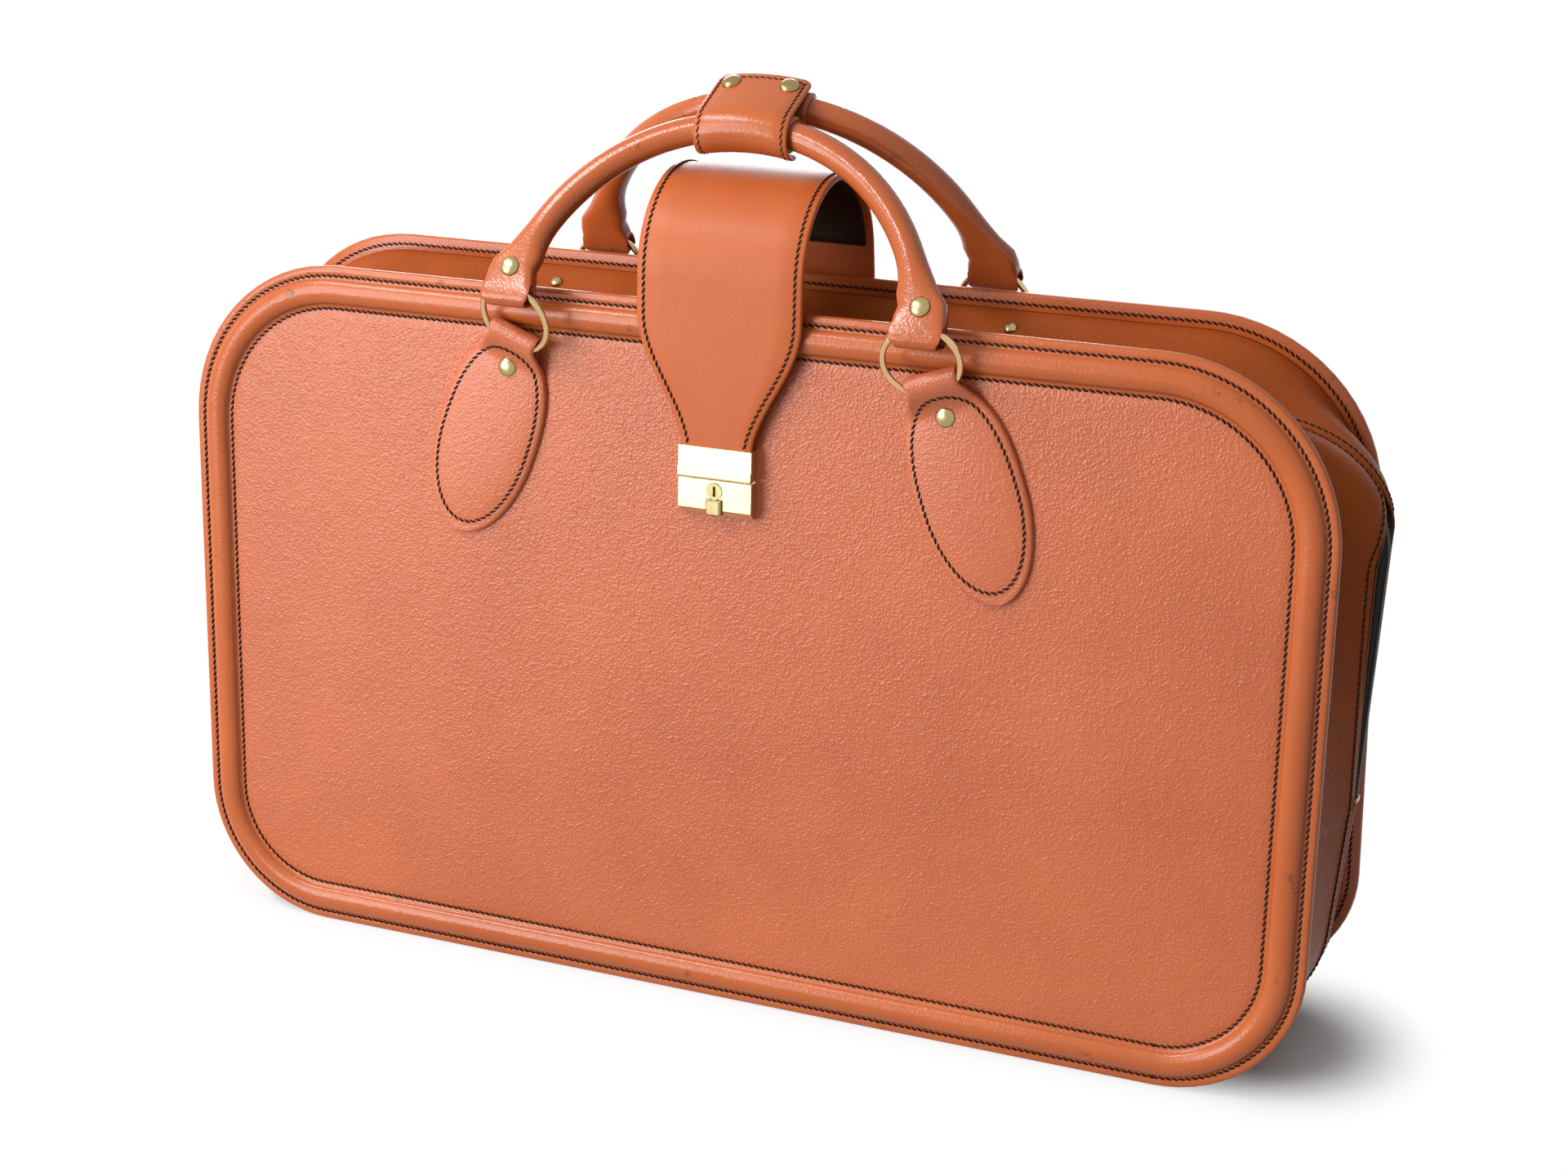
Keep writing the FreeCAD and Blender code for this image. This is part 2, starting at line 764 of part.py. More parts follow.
def flare_cutter(margin):
    """What is cut from the right edge of the strap to narrow it to the lock in one S curve."""
    wide = strap_width / 2 - margin
    slim = strap_end_width / 2 - margin
    top, low = strap_flare_top, strap_flare_bottom
    dx, dz = (wide - slim) / 2, (top - low) / 2
    radius = (dx * dx + dz * dz) / (2 * dx)
    turn = math.asin(dz / radius) / 2
    bend = radius * (1 - math.cos(turn))
    rise = radius * math.sin(turn)
    outside = strap_width
    start, middle, end = Vector(wide, 0, top), Vector(wide - dx, 0, top - dz), Vector(slim, 0, low)
    foot, corner = Vector(slim, 0, lock_bottom), Vector(outside, 0, lock_bottom)
    edges = [
        Part.Arc(start, Vector(wide - bend, 0, top - rise), middle).toShape(),
        Part.Arc(middle, Vector(slim + bend, 0, low + rise), end).toShape(),
        Part.makeLine(end, foot),
        Part.makeLine(foot, corner),
        Part.makeLine(corner, Vector(outside, 0, top)),
        Part.makeLine(Vector(outside, 0, top), start),
    ]
    cutter = Part.Face(Part.Wire(edges)).extrude(Vector(0, -2 * strap_face, 0))
    return to_front(cutter)


def strap_layer(low, high, margin, foot, stop):
    """A layer of half the strap, at full width."""
    width = strap_width - 2 * margin
    solid = strap_outline(low, high, foot, stop).extrude(Vector(width, 0, 0))
    solid.translate(Vector(-width / 2, 0, 0))
    return solid


def narrowed(solid, margin):
    """Narrow the front half of the strap towards the lock."""
    for cutter in pair(flare_cutter(margin)):
        solid = solid.cut(cutter)
    return solid


def strap_pivot():
    """Axis on which the front half of the strap lifts, inside the crown of the arch."""
    return Vector(0, 0, strap_crown_height - strap_thickness / 2)


def strap_stop():
    """Angle at which the fixed half of the strap ends, just short of the lifting half's rounded end."""
    return (strap_thickness / 2 + strap_pivot_clearance) / arch_of_strap()[1]


def strap_lining():
    """Dark lining on the inner side of the lifting half."""
    half = strap_thickness / 2
    solid = strap_layer(-half, strap_lining_thickness - half, lining_margin, strap_end_height, strap_stop())
    return narrowed(solid, lining_margin)


def closure_strap():
    """Lifting half of the strap, with a rounded end on its axis."""
    half = strap_thickness / 2
    solid = narrowed(strap_layer(-half, half, 0, strap_end_height, 0), 0)
    start = strap_pivot() - Vector(strap_width / 2, 0, 0)
    roll = Part.makeCylinder(half, strap_width, start, Vector(1, 0, 0))
    return solid.fuse(roll).cut(strap_lining())


def anchor_lining():
    """The same lining on the fixed half."""
    half = strap_thickness / 2
    high = strap_lining_thickness - half
    return mirror_y(strap_layer(-half, high, lining_margin, panel_height, strap_stop()))


def strap_anchor():
    """Fixed half of the strap: sewn flat to the back panel, led over the bead and up to the crown."""
    bead_low = panel_height - bead_inset - bead_width / 2
    low, high = bead_low - anchor_climb, bead_low + anchor_step
    foot, t = anchor_foot_height, strap_thickness
    side = [
        (0, foot),
        (0, low),
        (-strap_back, high),
        (-strap_back, panel_height),
        (-strap_face, panel_height),
        (-strap_face, high + t / 4),
        (-t, low + t / 4),
        (-t, foot),
    ]
    start = -strap_width / 2
    root = to_front(prism([Vector(start, y, z) for y, z in side], Vector(strap_width, 0, 0)))
    half = strap_layer(-t / 2, t / 2, 0, panel_height, strap_stop())
    return mirror_y(root.fuse(half).removeSplitter()).cut(anchor_lining())


# Lock and the clip on the end of the strap, in the flat frame of the front panel


def hasp_clip():
    """Folded metal clip round the strap's end, with a raised lip at its lower edge."""
    half = lock_width / 2
    face = -strap_face - hasp_wall
    solid = box(-half, half, face, -lock_plate_depth - hasp_clearance, hasp_bottom, hasp_top)
    lip = box(-half, half, face - hasp_lip_proud, face, hasp_bottom, hasp_bottom + hasp_lip)
    solid = solid.fuse(lip).removeSplitter()
    front = face - hasp_lip_proud + hasp_lip_round / 2
    edges = [e for e in solid.Edges if e.BoundBox.YMax < front and e.Length > half]
    solid = solid.makeFillet(hasp_lip_round, edges)
    slot_half = strap_end_width / 2
    slot = box(-slot_half, slot_half, -strap_face, -strap_back, strap_end_height, hasp_top)
    return to_front(solid.cut(slot))


def key_hole(radius, clearance):
    start = Vector(0, -lock_depth - 1, key_height)
    return Part.makeCylinder(radius, key_depth + 1 + clearance, start, Vector(0, 1, 0))


def lock_body():
    """Stepped lock case: a low box with a bevelled foot and a plate behind the clip."""
    half = lock_width / 2
    side = [
        (0, lock_bottom),
        (0, lock_top),
        (-lock_plate_depth, lock_top),
        (-lock_plate_depth, lock_step),
        (-lock_depth, lock_step),
        (-lock_depth, lock_bottom + lock_bevel),
        (-lock_depth + lock_bevel, lock_bottom),
    ]
    solid = prism([Vector(-half, y, z) for y, z in side], Vector(lock_width, 0, 0))
    solid = solid.cut(key_hole(key_radius + lock_fit, lock_fit))
    hole = button_size / 2 + lock_fit
    deep = -lock_depth + button_depth + button_travel + lock_fit
    well = box(-hole, hole, -2 * lock_depth, deep, button_height - hole, button_height + hole)
    return solid.cut(well)


def lock_cylinder():
    """Key plug with its slot."""
    start = Vector(0, -lock_depth - key_proud, key_height)
    plug = Part.makeCylinder(key_radius, key_depth + key_proud, start, Vector(0, 1, 0))
    w, l = key_slot_width / 2, key_slot_length / 2
    slot = box(-w, w, -2 * lock_depth, -lock_depth + key_depth / 2, key_height - l, key_height + l)
    return plug.cut(slot)


def lock_button():
    """Square push button with softened front edges."""
    half = button_size / 2
    face = -lock_depth - button_proud
    solid = box(-half, half, face, -lock_depth + button_depth, button_height - half, button_height + half)
    edges = [e for e in solid.Edges if e.BoundBox.YMax < face + 0.01]
    return solid.makeChamfer(button_size / 10, edges)


def lock_rivets():
    """Four rivets that hold the lock to its back plate inside the case."""
    reach = panel_thickness + lining_thickness + back_plate_thickness
    x = lock_width / 2 - lock_rivet_inset
    rivets = []
    for z in (lock_bottom + lock_rivet_inset, lock_top - lock_rivet_inset):
        shank = Part.makeCylinder(lock_rivet_radius, reach, Vector(x, 0, z), Vector(0, 1, 0))
        head = Part.makeCylinder(lock_rivet_head, lock_rivet_radius, Vector(x, reach, z), Vector(0, 1, 0))
        rivets += pair(shank.fuse(head).removeSplitter())
    return rivets


def lock_back_plate():
    near = panel_thickness + lining_thickness
    half = lock_width / 2
    return box(-half, half, near, near + back_plate_thickness, lock_bottom, lock_top)


def stand_flat(shape):
    """Trim a leaning panel level with the floor."""
    span = 2 * case_width
    floor = box(-span, span, -span, span, -span, 0)
    return shape.cut(floor)


def build_case():
    rivets = group(lock_rivets())
    panel = panel_sheet(0, 0, panel_thickness)
    lining = panel_sheet(lining_inset, panel_thickness, panel_thickness + lining_thickness)
    save("front_panel", stand_flat(to_front(panel.cut(rivets))))
    save("back_panel", mirror_y(stand_flat(to_front(panel))))
    save("front_lining", to_front(lining.cut(rivets)))
    save("back_lining", mirror_y(to_front(lining)))
    roll = to_front(bead())
    save("front_bead", roll)
    save("back_bead", mirror_y(roll))


def build_gusset():
    strip = band(upper_stations(zip_end_height, zip_end_height), front_strip)
    tape = band(upper_stations(zip_end_height, zip_end_height), front_tape)
    coil = band(upper_stations(coil_right_start, coil_left_start), front_coil)
    studs = gusset_studs()
    save("front_gusset", strip)
    save("back_gusset", mirror_y(strip).cut(group(studs)))
    save("gusset_studs", group(studs))
    save("front_zip_tape", tape)
    save("back_zip_tape", mirror_y(tape))
    save("front_zip_coil", coil)
    save("back_zip_coil", mirror_y(coil))
    save("base_gusset", band(lower_stations(), base_strip))
    save("zip_end_stops", end_stops())
    save("zip_slider", zip_slider())
    save("zip_pull", zip_pull())


def build_tabs():
    right = to_front(tab())
    studs = to_front(on_panel(tab_stud_shape()))
    save("front_right_tab", right)
    save("front_left_tab", mirror_x(right))
    save("rear_right_tab", mirror_y(right))
    save("rear_left_tab", mirror_y(mirror_x(right)))
    save("front_tab_studs", group(pair(studs)))
    save("rear_tab_studs", mirror_y(group(pair(studs))))
    save("front_rings", group(pair(to_front(ring(front_ring_tilt)))))
    save("rear_rings", mirror_y(group(pair(to_front(ring(rear_ring_tilt))))))


def build_handles():
    pieces = {
        "handle": handle(),
        "handle_core": handle_core(),
        "handle_studs": group(pair(handle_stud_shape())),
        "handle_sleeve": sleeve(),
    }
    for name, shape in pieces.items():
        save("front_" + name, lean_handle(shape, front_ring_tilt))
        save("rear_" + name, mirror_y(lean_handle(shape, rear_ring_tilt)))
    caps = group(snap_shapes())
    save("wrap_flap", flap_sheet().cut(caps))
    save("wrap_snap_caps", caps)


def build_strap_and_lock():
    save("closure_strap", closure_strap())
    save("strap_lining", strap_lining())
    save("strap_anchor", strap_anchor())
    save("anchor_lining", anchor_lining())
    save("hasp_clip", hasp_clip())
    save("lock_body", to_front(lock_body()))
    save("lock_cylinder", to_front(lock_cylinder()))
    save("lock_button", to_front(lock_button()))
    rivets = group(lock_rivets())
    save("lock_rivets", to_front(rivets))
    save("lock_back_plate", to_front(lock_back_plate().cut(rivets)))


os.makedirs("parts", exist_ok=True)
build_case()
build_gusset()
build_tabs()
build_handles()
build_strap_and_lock()
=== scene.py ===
from math import acos, asin, copysign, cos, hypot, pi, radians, sin, sqrt
import bmesh
import bpy
from mathutils import Matrix, Vector


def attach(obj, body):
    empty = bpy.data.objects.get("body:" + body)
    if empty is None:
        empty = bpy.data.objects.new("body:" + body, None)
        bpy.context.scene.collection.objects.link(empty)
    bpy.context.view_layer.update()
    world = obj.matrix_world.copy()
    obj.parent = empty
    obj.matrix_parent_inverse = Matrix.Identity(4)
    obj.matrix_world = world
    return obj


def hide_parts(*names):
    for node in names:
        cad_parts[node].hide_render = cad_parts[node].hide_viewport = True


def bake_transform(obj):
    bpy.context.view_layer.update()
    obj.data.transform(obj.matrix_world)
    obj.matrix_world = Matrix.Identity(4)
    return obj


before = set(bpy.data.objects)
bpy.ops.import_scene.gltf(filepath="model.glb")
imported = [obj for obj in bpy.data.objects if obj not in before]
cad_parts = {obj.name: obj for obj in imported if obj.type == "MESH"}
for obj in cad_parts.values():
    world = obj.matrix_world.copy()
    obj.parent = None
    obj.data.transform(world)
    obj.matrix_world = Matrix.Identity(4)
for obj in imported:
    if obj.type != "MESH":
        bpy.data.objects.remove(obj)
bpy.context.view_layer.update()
scene = bpy.context.scene

# Case, in metres, as in the part
WIDTH, HEIGHT = 0.660, 0.393
TOP_RADIUS, LOW_RADIUS = 0.095, 0.077
CORNER = HEIGHT - TOP_RADIUS
BASE_DEPTH, TOP_DEPTH = 0.143, 0.088
LEAN = asin((BASE_DEPTH - TOP_DEPTH) / 2 / HEIGHT)
SIN, COS = sin(LEAN), cos(LEAN)
PANEL = 0.005
X_AXIS = Vector((1, 0, 0))


def on_front(x, d, z):
    """A point at a distance d outside the front panel's face, from the panel's own flat frame."""
    return Vector((x, -BASE_DEPTH / 2 - d * COS + z * SIN, d * SIN + z * COS))


def on_back(x, d, z):
    """The same point on the back panel."""
    p = on_front(x, d, z)
    return Vector((p.x, -p.y, p.z))


def clamped(value):
    """A share held between 0 and 1."""
    return min(1, max(0, value))


def eased(value):
    """A share held between 0 and 1 that starts and stops gently."""
    t = clamped(value)
    return t * t * (3 - 2 * t)


# Materials


SCUFF_TONE = (0.06, 0.022, 0.012)
GRAIN_DEPTH, WEAVE_DEPTH, FLECK_DEPTH = 0.0012, 0.0004, 0.0003


def new_material(name):
    """A material, its tree of nodes and its shader."""
    mat = bpy.data.materials.new(name)
    mat.use_nodes = True
    return mat, mat.node_tree, mat.node_tree.nodes["Principled BSDF"]


def fill(tree, made, **inputs):
    """Set the inputs of a node, or link them where a socket is given."""
    for key, value in inputs.items():
        socket = made.inputs[key.replace("_", " ")]
        if isinstance(value, bpy.types.NodeSocket):
            tree.links.new(value, socket)
        else:
            socket.default_value = value


def node(tree, kind, **inputs):
    made = tree.nodes.new("ShaderNode" + kind)
    fill(tree, made, **inputs)
    return made


def tint(tree, factor, dark, light):
    """Colour between two tones."""
    tone = node(tree, "Mix")
    tone.data_type = "RGBA"
    fill(tree, tone, Factor=factor, A=(*dark, 1), B=(*light, 1))
    return tone


def spread(tree, value, low, high, to_low=0.0, to_high=1.0):
    """Stretch a value from one range to another."""
    made = node(tree, "MapRange", Value=value, From_Min=low, From_Max=high, To_Min=to_low, To_Max=to_high)
    return made.outputs["Result"]


def arithmetic(tree, kind, a, b):
    """One step of arithmetic on two values."""
    made = node(tree, "Math")
    made.operation = kind
    tree.links.new(a, made.inputs[0])
    tree.links.new(b, made.inputs[1])
    return made.outputs["Value"]


def mixed(tree, factor, first, second):
    """The first shader where the factor is 0 and the second where it is 1."""
    made = node(tree, "MixShader")
    tree.links.new(factor, made.inputs["Fac"])
    tree.links.new(first, made.inputs[1])
    tree.links.new(second, made.inputs[2])
    return made.outputs["Shader"]


def texture(tree, kind, **inputs):
    """A texture laid out in the piece's own space."""
    return node(tree, kind, Vector=node(tree, "TexCoord").outputs["Object"], **inputs)


def raised(tree, height, strength, distance):
    """Normals of a bumpy surface."""
    return node(tree, "Bump", Height=height, Strength=strength, Distance=distance).outputs["Normal"]


def hide(name, dark, light, rough, grain, depth, specular, scuff=0.0):
    """Leather: cloudy colour, pebbled grain, uneven polish, and dark scuffs where it is worn."""
    mat, tree, shader = new_material(name)
    cloud = texture(tree, "TexNoise", Scale=9.0, Detail=5.0, Roughness=0.6).outputs["Fac"]
    tone = tint(tree, spread(tree, cloud, 0.35, 0.65), dark, light)
    worn = texture(tree, "TexNoise", Scale=55.0, Detail=6.0, Roughness=0.7).outputs["Fac"]
    aged = tint(tree, spread(tree, worn, 0.63, 0.70, 0.0, scuff), dark, SCUFF_TONE)
    fill(tree, aged, A=tone.outputs["Result"])
    cells = texture(tree, "TexVoronoi", Scale=grain, Randomness=1.0)
    cells.feature = "SMOOTH_F1"
    warp = texture(tree, "TexNoise", Scale=grain * 0.35, Detail=3.0)
    pebbles = arithmetic(tree, "MULTIPLY", cells.outputs["Distance"], warp.outputs["Fac"])
    fill(tree, shader, Base_Color=aged.outputs["Result"], Normal=raised(tree, pebbles, depth, GRAIN_DEPTH),
         Roughness=spread(tree, cloud, 0.0, 1.0, rough - 0.05, rough + 0.07), Specular_IOR_Level=specular)
    return mat


def brass(name, dark, light, rough):
    """Aged metal: fine patches of tarnish and an uneven polish."""
    mat, tree, shader = new_material(name)
    cloud = texture(tree, "TexNoise", Scale=130.0, Detail=4.0).outputs["Fac"]
    fill(tree, shader, Base_Color=tint(tree, cloud, dark, light).outputs["Result"], Metallic=1.0,
         Roughness=spread(tree, cloud, 0.0, 1.0, rough - 0.06, rough + 0.06))
    return mat


def woven(name, dark, light, rough, scale):
    """Plain weave: two sets of crossed waves."""
    mat, tree, shader = new_material(name)
    waves = []
    for way in ("X", "Z"):
        wave = texture(tree, "TexWave", Scale=scale, Distortion=0.8, Detail=1.0)
        wave.bands_direction = way
        waves.append(wave.outputs["Fac"])
    weave = arithmetic(tree, "MULTIPLY", *waves)
    fill(tree, shader, Base_Color=tint(tree, weave, dark, light).outputs["Result"], Roughness=rough,
         Normal=raised(tree, weave, 0.6, WEAVE_DEPTH), Specular_IOR_Level=0.06)
    return mat


def fibre(name, dark, light, rough, scale, specular=0.10):
    """Thread, cord or moulded plastic: fine flecks in the colour and the surface."""
    mat, tree, shader = new_material(name)
    fleck = texture(tree, "TexNoise", Scale=scale, Detail=3.0).outputs["Fac"]
    fill(tree, shader, Base_Color=tint(tree, fleck, dark, light).outputs["Result"], Roughness=rough,
         Normal=raised(tree, fleck, 0.3, FLECK_DEPTH), Specular_IOR_Level=specular)
    return mat


PANEL_HIDE = hide("panel_hide", (0.42, 0.095, 0.031), (0.48, 0.114, 0.038), 0.32, 860.0, 0.56, 0.42)
LEAF_HIDE = hide("leaf_hide", (0.44, 0.101, 0.034), (0.50, 0.120, 0.042), 0.32, 860.0, 0.40, 0.46)
HANDLE_HIDE = hide("handle_hide", (0.39, 0.083, 0.019), (0.45, 0.102, 0.025), 0.20, 820.0, 0.15, 0.38, 0.5)
STRAP_HIDE = hide("strap_hide", (0.42, 0.089, 0.021), (0.47, 0.106, 0.027), 0.42, 700.0, 0.10, 0.25)
TRIM_HIDE = hide("trim_hide", (0.40, 0.085, 0.019), (0.46, 0.104, 0.025), 0.25, 700.0, 0.14, 0.34, 0.6)
# Gusset leather, darker than the other hides: painted shade for the gusset's sides and valley, which lie in
# shade
SHADED_GUSSET_HIDE = hide("gusset_hide_painted_shade", (0.29, 0.057, 0.010), (0.36, 0.075, 0.014), 0.38, 480.0, 0.42, 0.08)
DARK_HIDE = hide("dark_hide", (0.024, 0.011, 0.008), (0.034, 0.016, 0.011), 0.60, 500.0, 0.4, 0.15)
THREAD = fibre("thread", (0.014, 0.006, 0.004), (0.034, 0.015, 0.009), rough=0.65, scale=2400.0)
CLOTH = woven("cloth", (0.12, 0.075, 0.05), (0.24, 0.16, 0.11), rough=0.9, scale=260.0)
TAPE_CLOTH = woven("tape_cloth", (0.008, 0.006, 0.005), (0.018, 0.014, 0.012), rough=0.85, scale=520.0)
# Zip coil: its own near-black colour, lightened to dark grey above the tape as a painted glint along the
# teeth
COIL_DARK_GLINT = fibre("coil_black", (0.034, 0.031, 0.028), (0.062, 0.056, 0.050), 0.25, 900.0, specular=0.2)
ROPE = fibre("rope", (0.40, 0.31, 0.19), (0.62, 0.52, 0.36), rough=0.9, scale=1400.0)
BRASS = brass("brass_aged", (0.34, 0.26, 0.11), (0.52, 0.42, 0.21), rough=0.27)
BRONZE = brass("brass_dark", (0.26, 0.17, 0.07), (0.38, 0.27, 0.13), rough=0.30)
GOLD = brass("brass_gold", (0.58, 0.40, 0.19), (0.72, 0.51, 0.26), rough=0.24)
PALE_BRASS = brass("brass_pale", (0.66, 0.54, 0.31), (0.74, 0.63, 0.39), rough=0.28)


# Meshes


def mesh(name, verts, faces, mat, body, replaced, slot):
    """A piece; its many-sided end faces stay flat, so that they cast no soft line on the sides."""
    data = bpy.data.meshes.new(name)
    data.from_pydata([tuple(v) for v in verts], [], faces)
    data.materials.append(mat)
    for poly in data.polygons:
        poly.use_smooth = len(poly.vertices) <= 4
    data.update()
    obj = bpy.data.objects.new(name, data)
    scene.collection.objects.link(obj)
    if body:
        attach(obj, body)
    if replaced:
        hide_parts(*replaced)
    return obj


def loft(rings, caps=True, turned=False):
    """Points and faces over closed rings, with the two ends filled; a mirrored piece has its faces turned."""
    size = len(rings[0])
    verts = [p for ring in rings for p in ring]
    faces = []
    for row in range(len(rings) - 1):
        low, high = row * size, (row + 1) * size
        for i in range(size):
            j = (i + 1) % size
            faces.append((low + i, low + j, high + j, high + i))
    if caps:
        last = (len(rings) - 1) * size
        faces.append(tuple(range(size))[::-1])
        faces.append(tuple(range(last, last + size)))
    if turned:
        faces = [face[::-1] for face in faces]
    return verts, faces


def joined(*parts):
    """One set of points and faces from several."""
    verts, faces = [], []
    for more, sides in parts:
        start = len(verts)
        faces += [tuple(start + i for i in face) for face in sides]
        verts += more
    return verts, faces


def circle(count):
    """Evenly spaced angles, all the way round."""
    return [2 * pi * k / count for k in range(count)]


# Panels


ARC_STEPS = 16
EDGE_STEPS = (12, 20)


def outline(inset):
    """Outline of a panel, with the same number of points at every inset."""
    half = WIDTH / 2
    corners = (
        (half - LOW_RADIUS, LOW_RADIUS, LOW_RADIUS, -90), (half - TOP_RADIUS, CORNER, TOP_RADIUS, 0),
        (-half + TOP_RADIUS, CORNER, TOP_RADIUS, 90), (-half + LOW_RADIUS, LOW_RADIUS, LOW_RADIUS, 180),
    )
    arcs = []
    for cx, cz, r, start in corners:
        arc = []
        for k in range(ARC_STEPS + 1):
            t = radians(start + 90 * k / ARC_STEPS)
            arc.append((cx + (r - inset) * cos(t), cz + (r - inset) * sin(t)))
        arcs.append(arc)
    points = []
    for k, arc in enumerate(arcs):
        points += arc
        (ax, az), (bx, bz) = arc[-1], arcs[(k + 1) % len(arcs)][0]
        count = EDGE_STEPS[k % 2]
        for i in range(1, count):
            t = i / count
            points.append((ax + (bx - ax) * t, az + (bz - az) * t))
    return points


# Profiles from the rim inwards: inset, height above the face
OUTER_SEAM, INNER_SEAM, GROOVE = 0.0053, 0.0236, -0.0004
BEAD_INSET, BEAD_HALF, BEAD_UP, BEAD_STEPS = 0.014, 0.007, 0.0044, 10
FIELD_INSET = 0.066
FACE = [(0.0, -0.0026), (0.0003, -0.0012), (0.0009, -0.0003), (0.0019, 0.0), (0.0042, 0.0001),
        (OUTER_SEAM, GROOVE), (0.0062, 0.0), (0.0069, -0.0001)]
for k in range(1, BEAD_STEPS):
    t = pi * k / BEAD_STEPS
    FACE.append((BEAD_INSET - BEAD_HALF * cos(t), BEAD_UP * sin(t)))
FACE += [(0.0212, -0.0001), (0.0225, 0.0), (INNER_SEAM, GROOVE), (0.0247, 0.0), (0.030, 0.0002),
         (0.045, 0.0006), (FIELD_INSET, 0.0010)]
BACK = [(0.0003, -0.0042), (0.0012, -PANEL), (0.012, -PANEL), (FIELD_INSET, -PANEL)]
# Padded middle: share of the field's size, height
PADDING = ((0.75, 0.0014), (0.5, 0.0017), (0.25, 0.0019))
TRIM_ROWS = len(BACK) + FACE.index((INNER_SEAM, GROOVE))


def panel_line(place, inset, d):
    return [place(x, d, z) for x, z in outline(inset)]


def shell(side, place, body, back):
    """Panel with its bead, flange and softly padded middle, as one closed leather form."""
    rows = [panel_line(place, inset, h) for inset, h in BACK[::-1] + FACE]
    field = outline(FIELD_INSET)
    for share, h in PADDING:
        rows.append([place(x * share, h, HEIGHT / 2 + (z - HEIGHT / 2) * share) for x, z in field])
    verts, faces = loft(rows, turned=not back)
    nodes = (side + "_panel", side + "_bead")
    obj = mesh(side + "_shell", verts, faces, PANEL_HIDE, body, nodes, "tan_leather")
    obj.data.materials.append(TRIM_HIDE)
    for poly in obj.data.polygons:
        if poly.index // len(field) < TRIM_ROWS:
            poly.material_index = 1


# Stitches


def along(points, pitch):
    """Evenly spaced places on a polyline, with the direction and the number of the segment there."""
    spots, start = [], pitch / 2
    for k, (a, b) in enumerate(zip(points, points[1:])):
        run = (b - a).length
        if run == 0:
            continue
        way = (b - a) / run
        reach = start
        while reach < run:
            spots.append((a + way * reach, way, k))
            reach += pitch
        start = reach - run
    return spots


# One stitch, in shares of its length and thickness: place along it, radius, lift
STITCH = ((-0.5, 0.35, 0.0), (-0.2, 1.0, 0.5), (0.2, 1.0, 0.5), (0.5, 0.35, 0.0))
STITCH_SIDES = 5
THREAD_SINK, THREAD_LIFT = 0.0001, 0.0001


def stitches(lines, pitch=0.0036, length=0.0040, thick=0.0006, slant=0.40):
    """Short slanted capsules along lines, each line with one normal or with one for every point."""
    parts = []
    for points, normal in lines:
        for spot, way, k in along(points, pitch):
            up = normal[k] if isinstance(normal, list) else normal
            side = way.cross(up).normalized()
            course = (way + side * slant).normalized()
            across = course.cross(up).normalized()
            spokes = [across * cos(a) + up * sin(a) for a in circle(STITCH_SIDES)]
            rings = []
            for t, r, lift in STITCH:
                centre = spot + course * length * t + up * thick * lift
                rings.append([centre + spoke * thick * r for spoke in spokes])
            parts.append(loft(rings))
    return joined(*parts)


def sew(name, lines, body=None, **shape):
    """A piece with all the stitches of some lines."""
    return mesh(name + "_stitches", *stitches(lines, **shape), THREAD, body, (), "dark_lining")


def panel_seam(place, inset, d):
    """Closed line round a panel."""
    points = panel_line(place, inset, d)
    return points + points[:1]


CASE_SIDES = (("front", on_front, "case_front", False), ("back", on_back, "case_back", True))
for side, place, body, back in CASE_SIDES:
    shell(side, place, body, back)
    out = place(0, 1, 0) - place(0, 0, 0)
    lines = [(panel_seam(place, inset, -THREAD_SINK), out) for inset in (OUTER_SEAM, INNER_SEAM)]
    lines.append((panel_seam(place, OUTER_SEAM, -PANEL), -out))
    sew(side + "_panel", lines, body)


# Linings: cloth stretched over the inner faces, turned in at its edge


LINING_INSET = 0.015
LINING = [(LINING_INSET, -PANEL), (0.0152, -0.0056), (0.0165, -0.0059), (0.030, -0.0060),
          (FIELD_INSET, -0.0060)]
for side, place, body, back in CASE_SIDES:
    rows = [panel_line(place, inset, h) for inset, h in LINING]
    verts, faces = loft(rows, turned=back)
    obj = mesh(side + "_lining_cloth", verts, faces, CLOTH, body, (side + "_lining",), "cloth_lining")


# Gusset, as in the part, then its hems


SEAM = 0.009
ZIP_END = 0.150
BULGE_LOW, BULGE_HIGH = 0.007, 0.015
VALLEY, VALLEY_TURN = 0.034, 70.0
# Distance of the hems from the zip's middle: at its foot, on the sides, and closed over it on top
HEM_LOW, HEM_SIDE, HEM_CLOSED = 0.0038, 0.0180, 0.0012
# Where the hems start to close, from the end of the straight side, and how long they take
FOLD_START, FOLD_RUN = -0.014, 0.040
ZIP_RIDGE, ZIP_DIP = 0.080, 0.0065
SIDE_POWER, ROLL = 1.6, 0.007
STRIP_STEPS = 14
STRIP_THICK, HEM_ROUND, HEM_EDGE = 0.0018, 0.0004, 0.0013
HEM_SEAM = 0.0038
# Lap of the strips over the lower gusset: length, height
LAP, LAP_UP = 0.012, 0.00015
SIDE_STEPS, TURN_STEPS, TOP_STEPS = 26, 36, 20
FOOT_STEPS, LOW_TURN_STEPS, FLOOR_STEPS = 8, 16, 12
# Where the front strip and the lower gusset start to follow the front panel, and where they do so fully
V_START, V_END = (0, -0.0135, 0.150), (0, -0.0542, 0.1683)
BASE_START, BASE_END = (0, -0.0135, 0.1), (0, -0.062, 0.1)


def rim_station(x, z, angle, offset, hem=HEM_LOW, past=-1.0):
    """One place along the rim; past is the way gone beyond the straight side, where the hems close."""
    t = radians(angle)
    nx, nz = cos(t), sin(t)
    seam = on_front(x - nx * SEAM, -PANEL, z - nz * SEAM)
    return {
        "base": Vector((seam.x, 0, seam.z)),
        "y": seam.y,
        "out": Vector((nx, 0, nz)),
        "rise": offset + SEAM,
        "hem": hem,
        "fold": eased((past - FOLD_START) / FOLD_RUN),
    }


def top_station(x):
    """A place along the straight top, where the hems are closed."""
    return rim_station(x, HEIGHT, 90, -VALLEY, HEM_SIDE, 1.0)


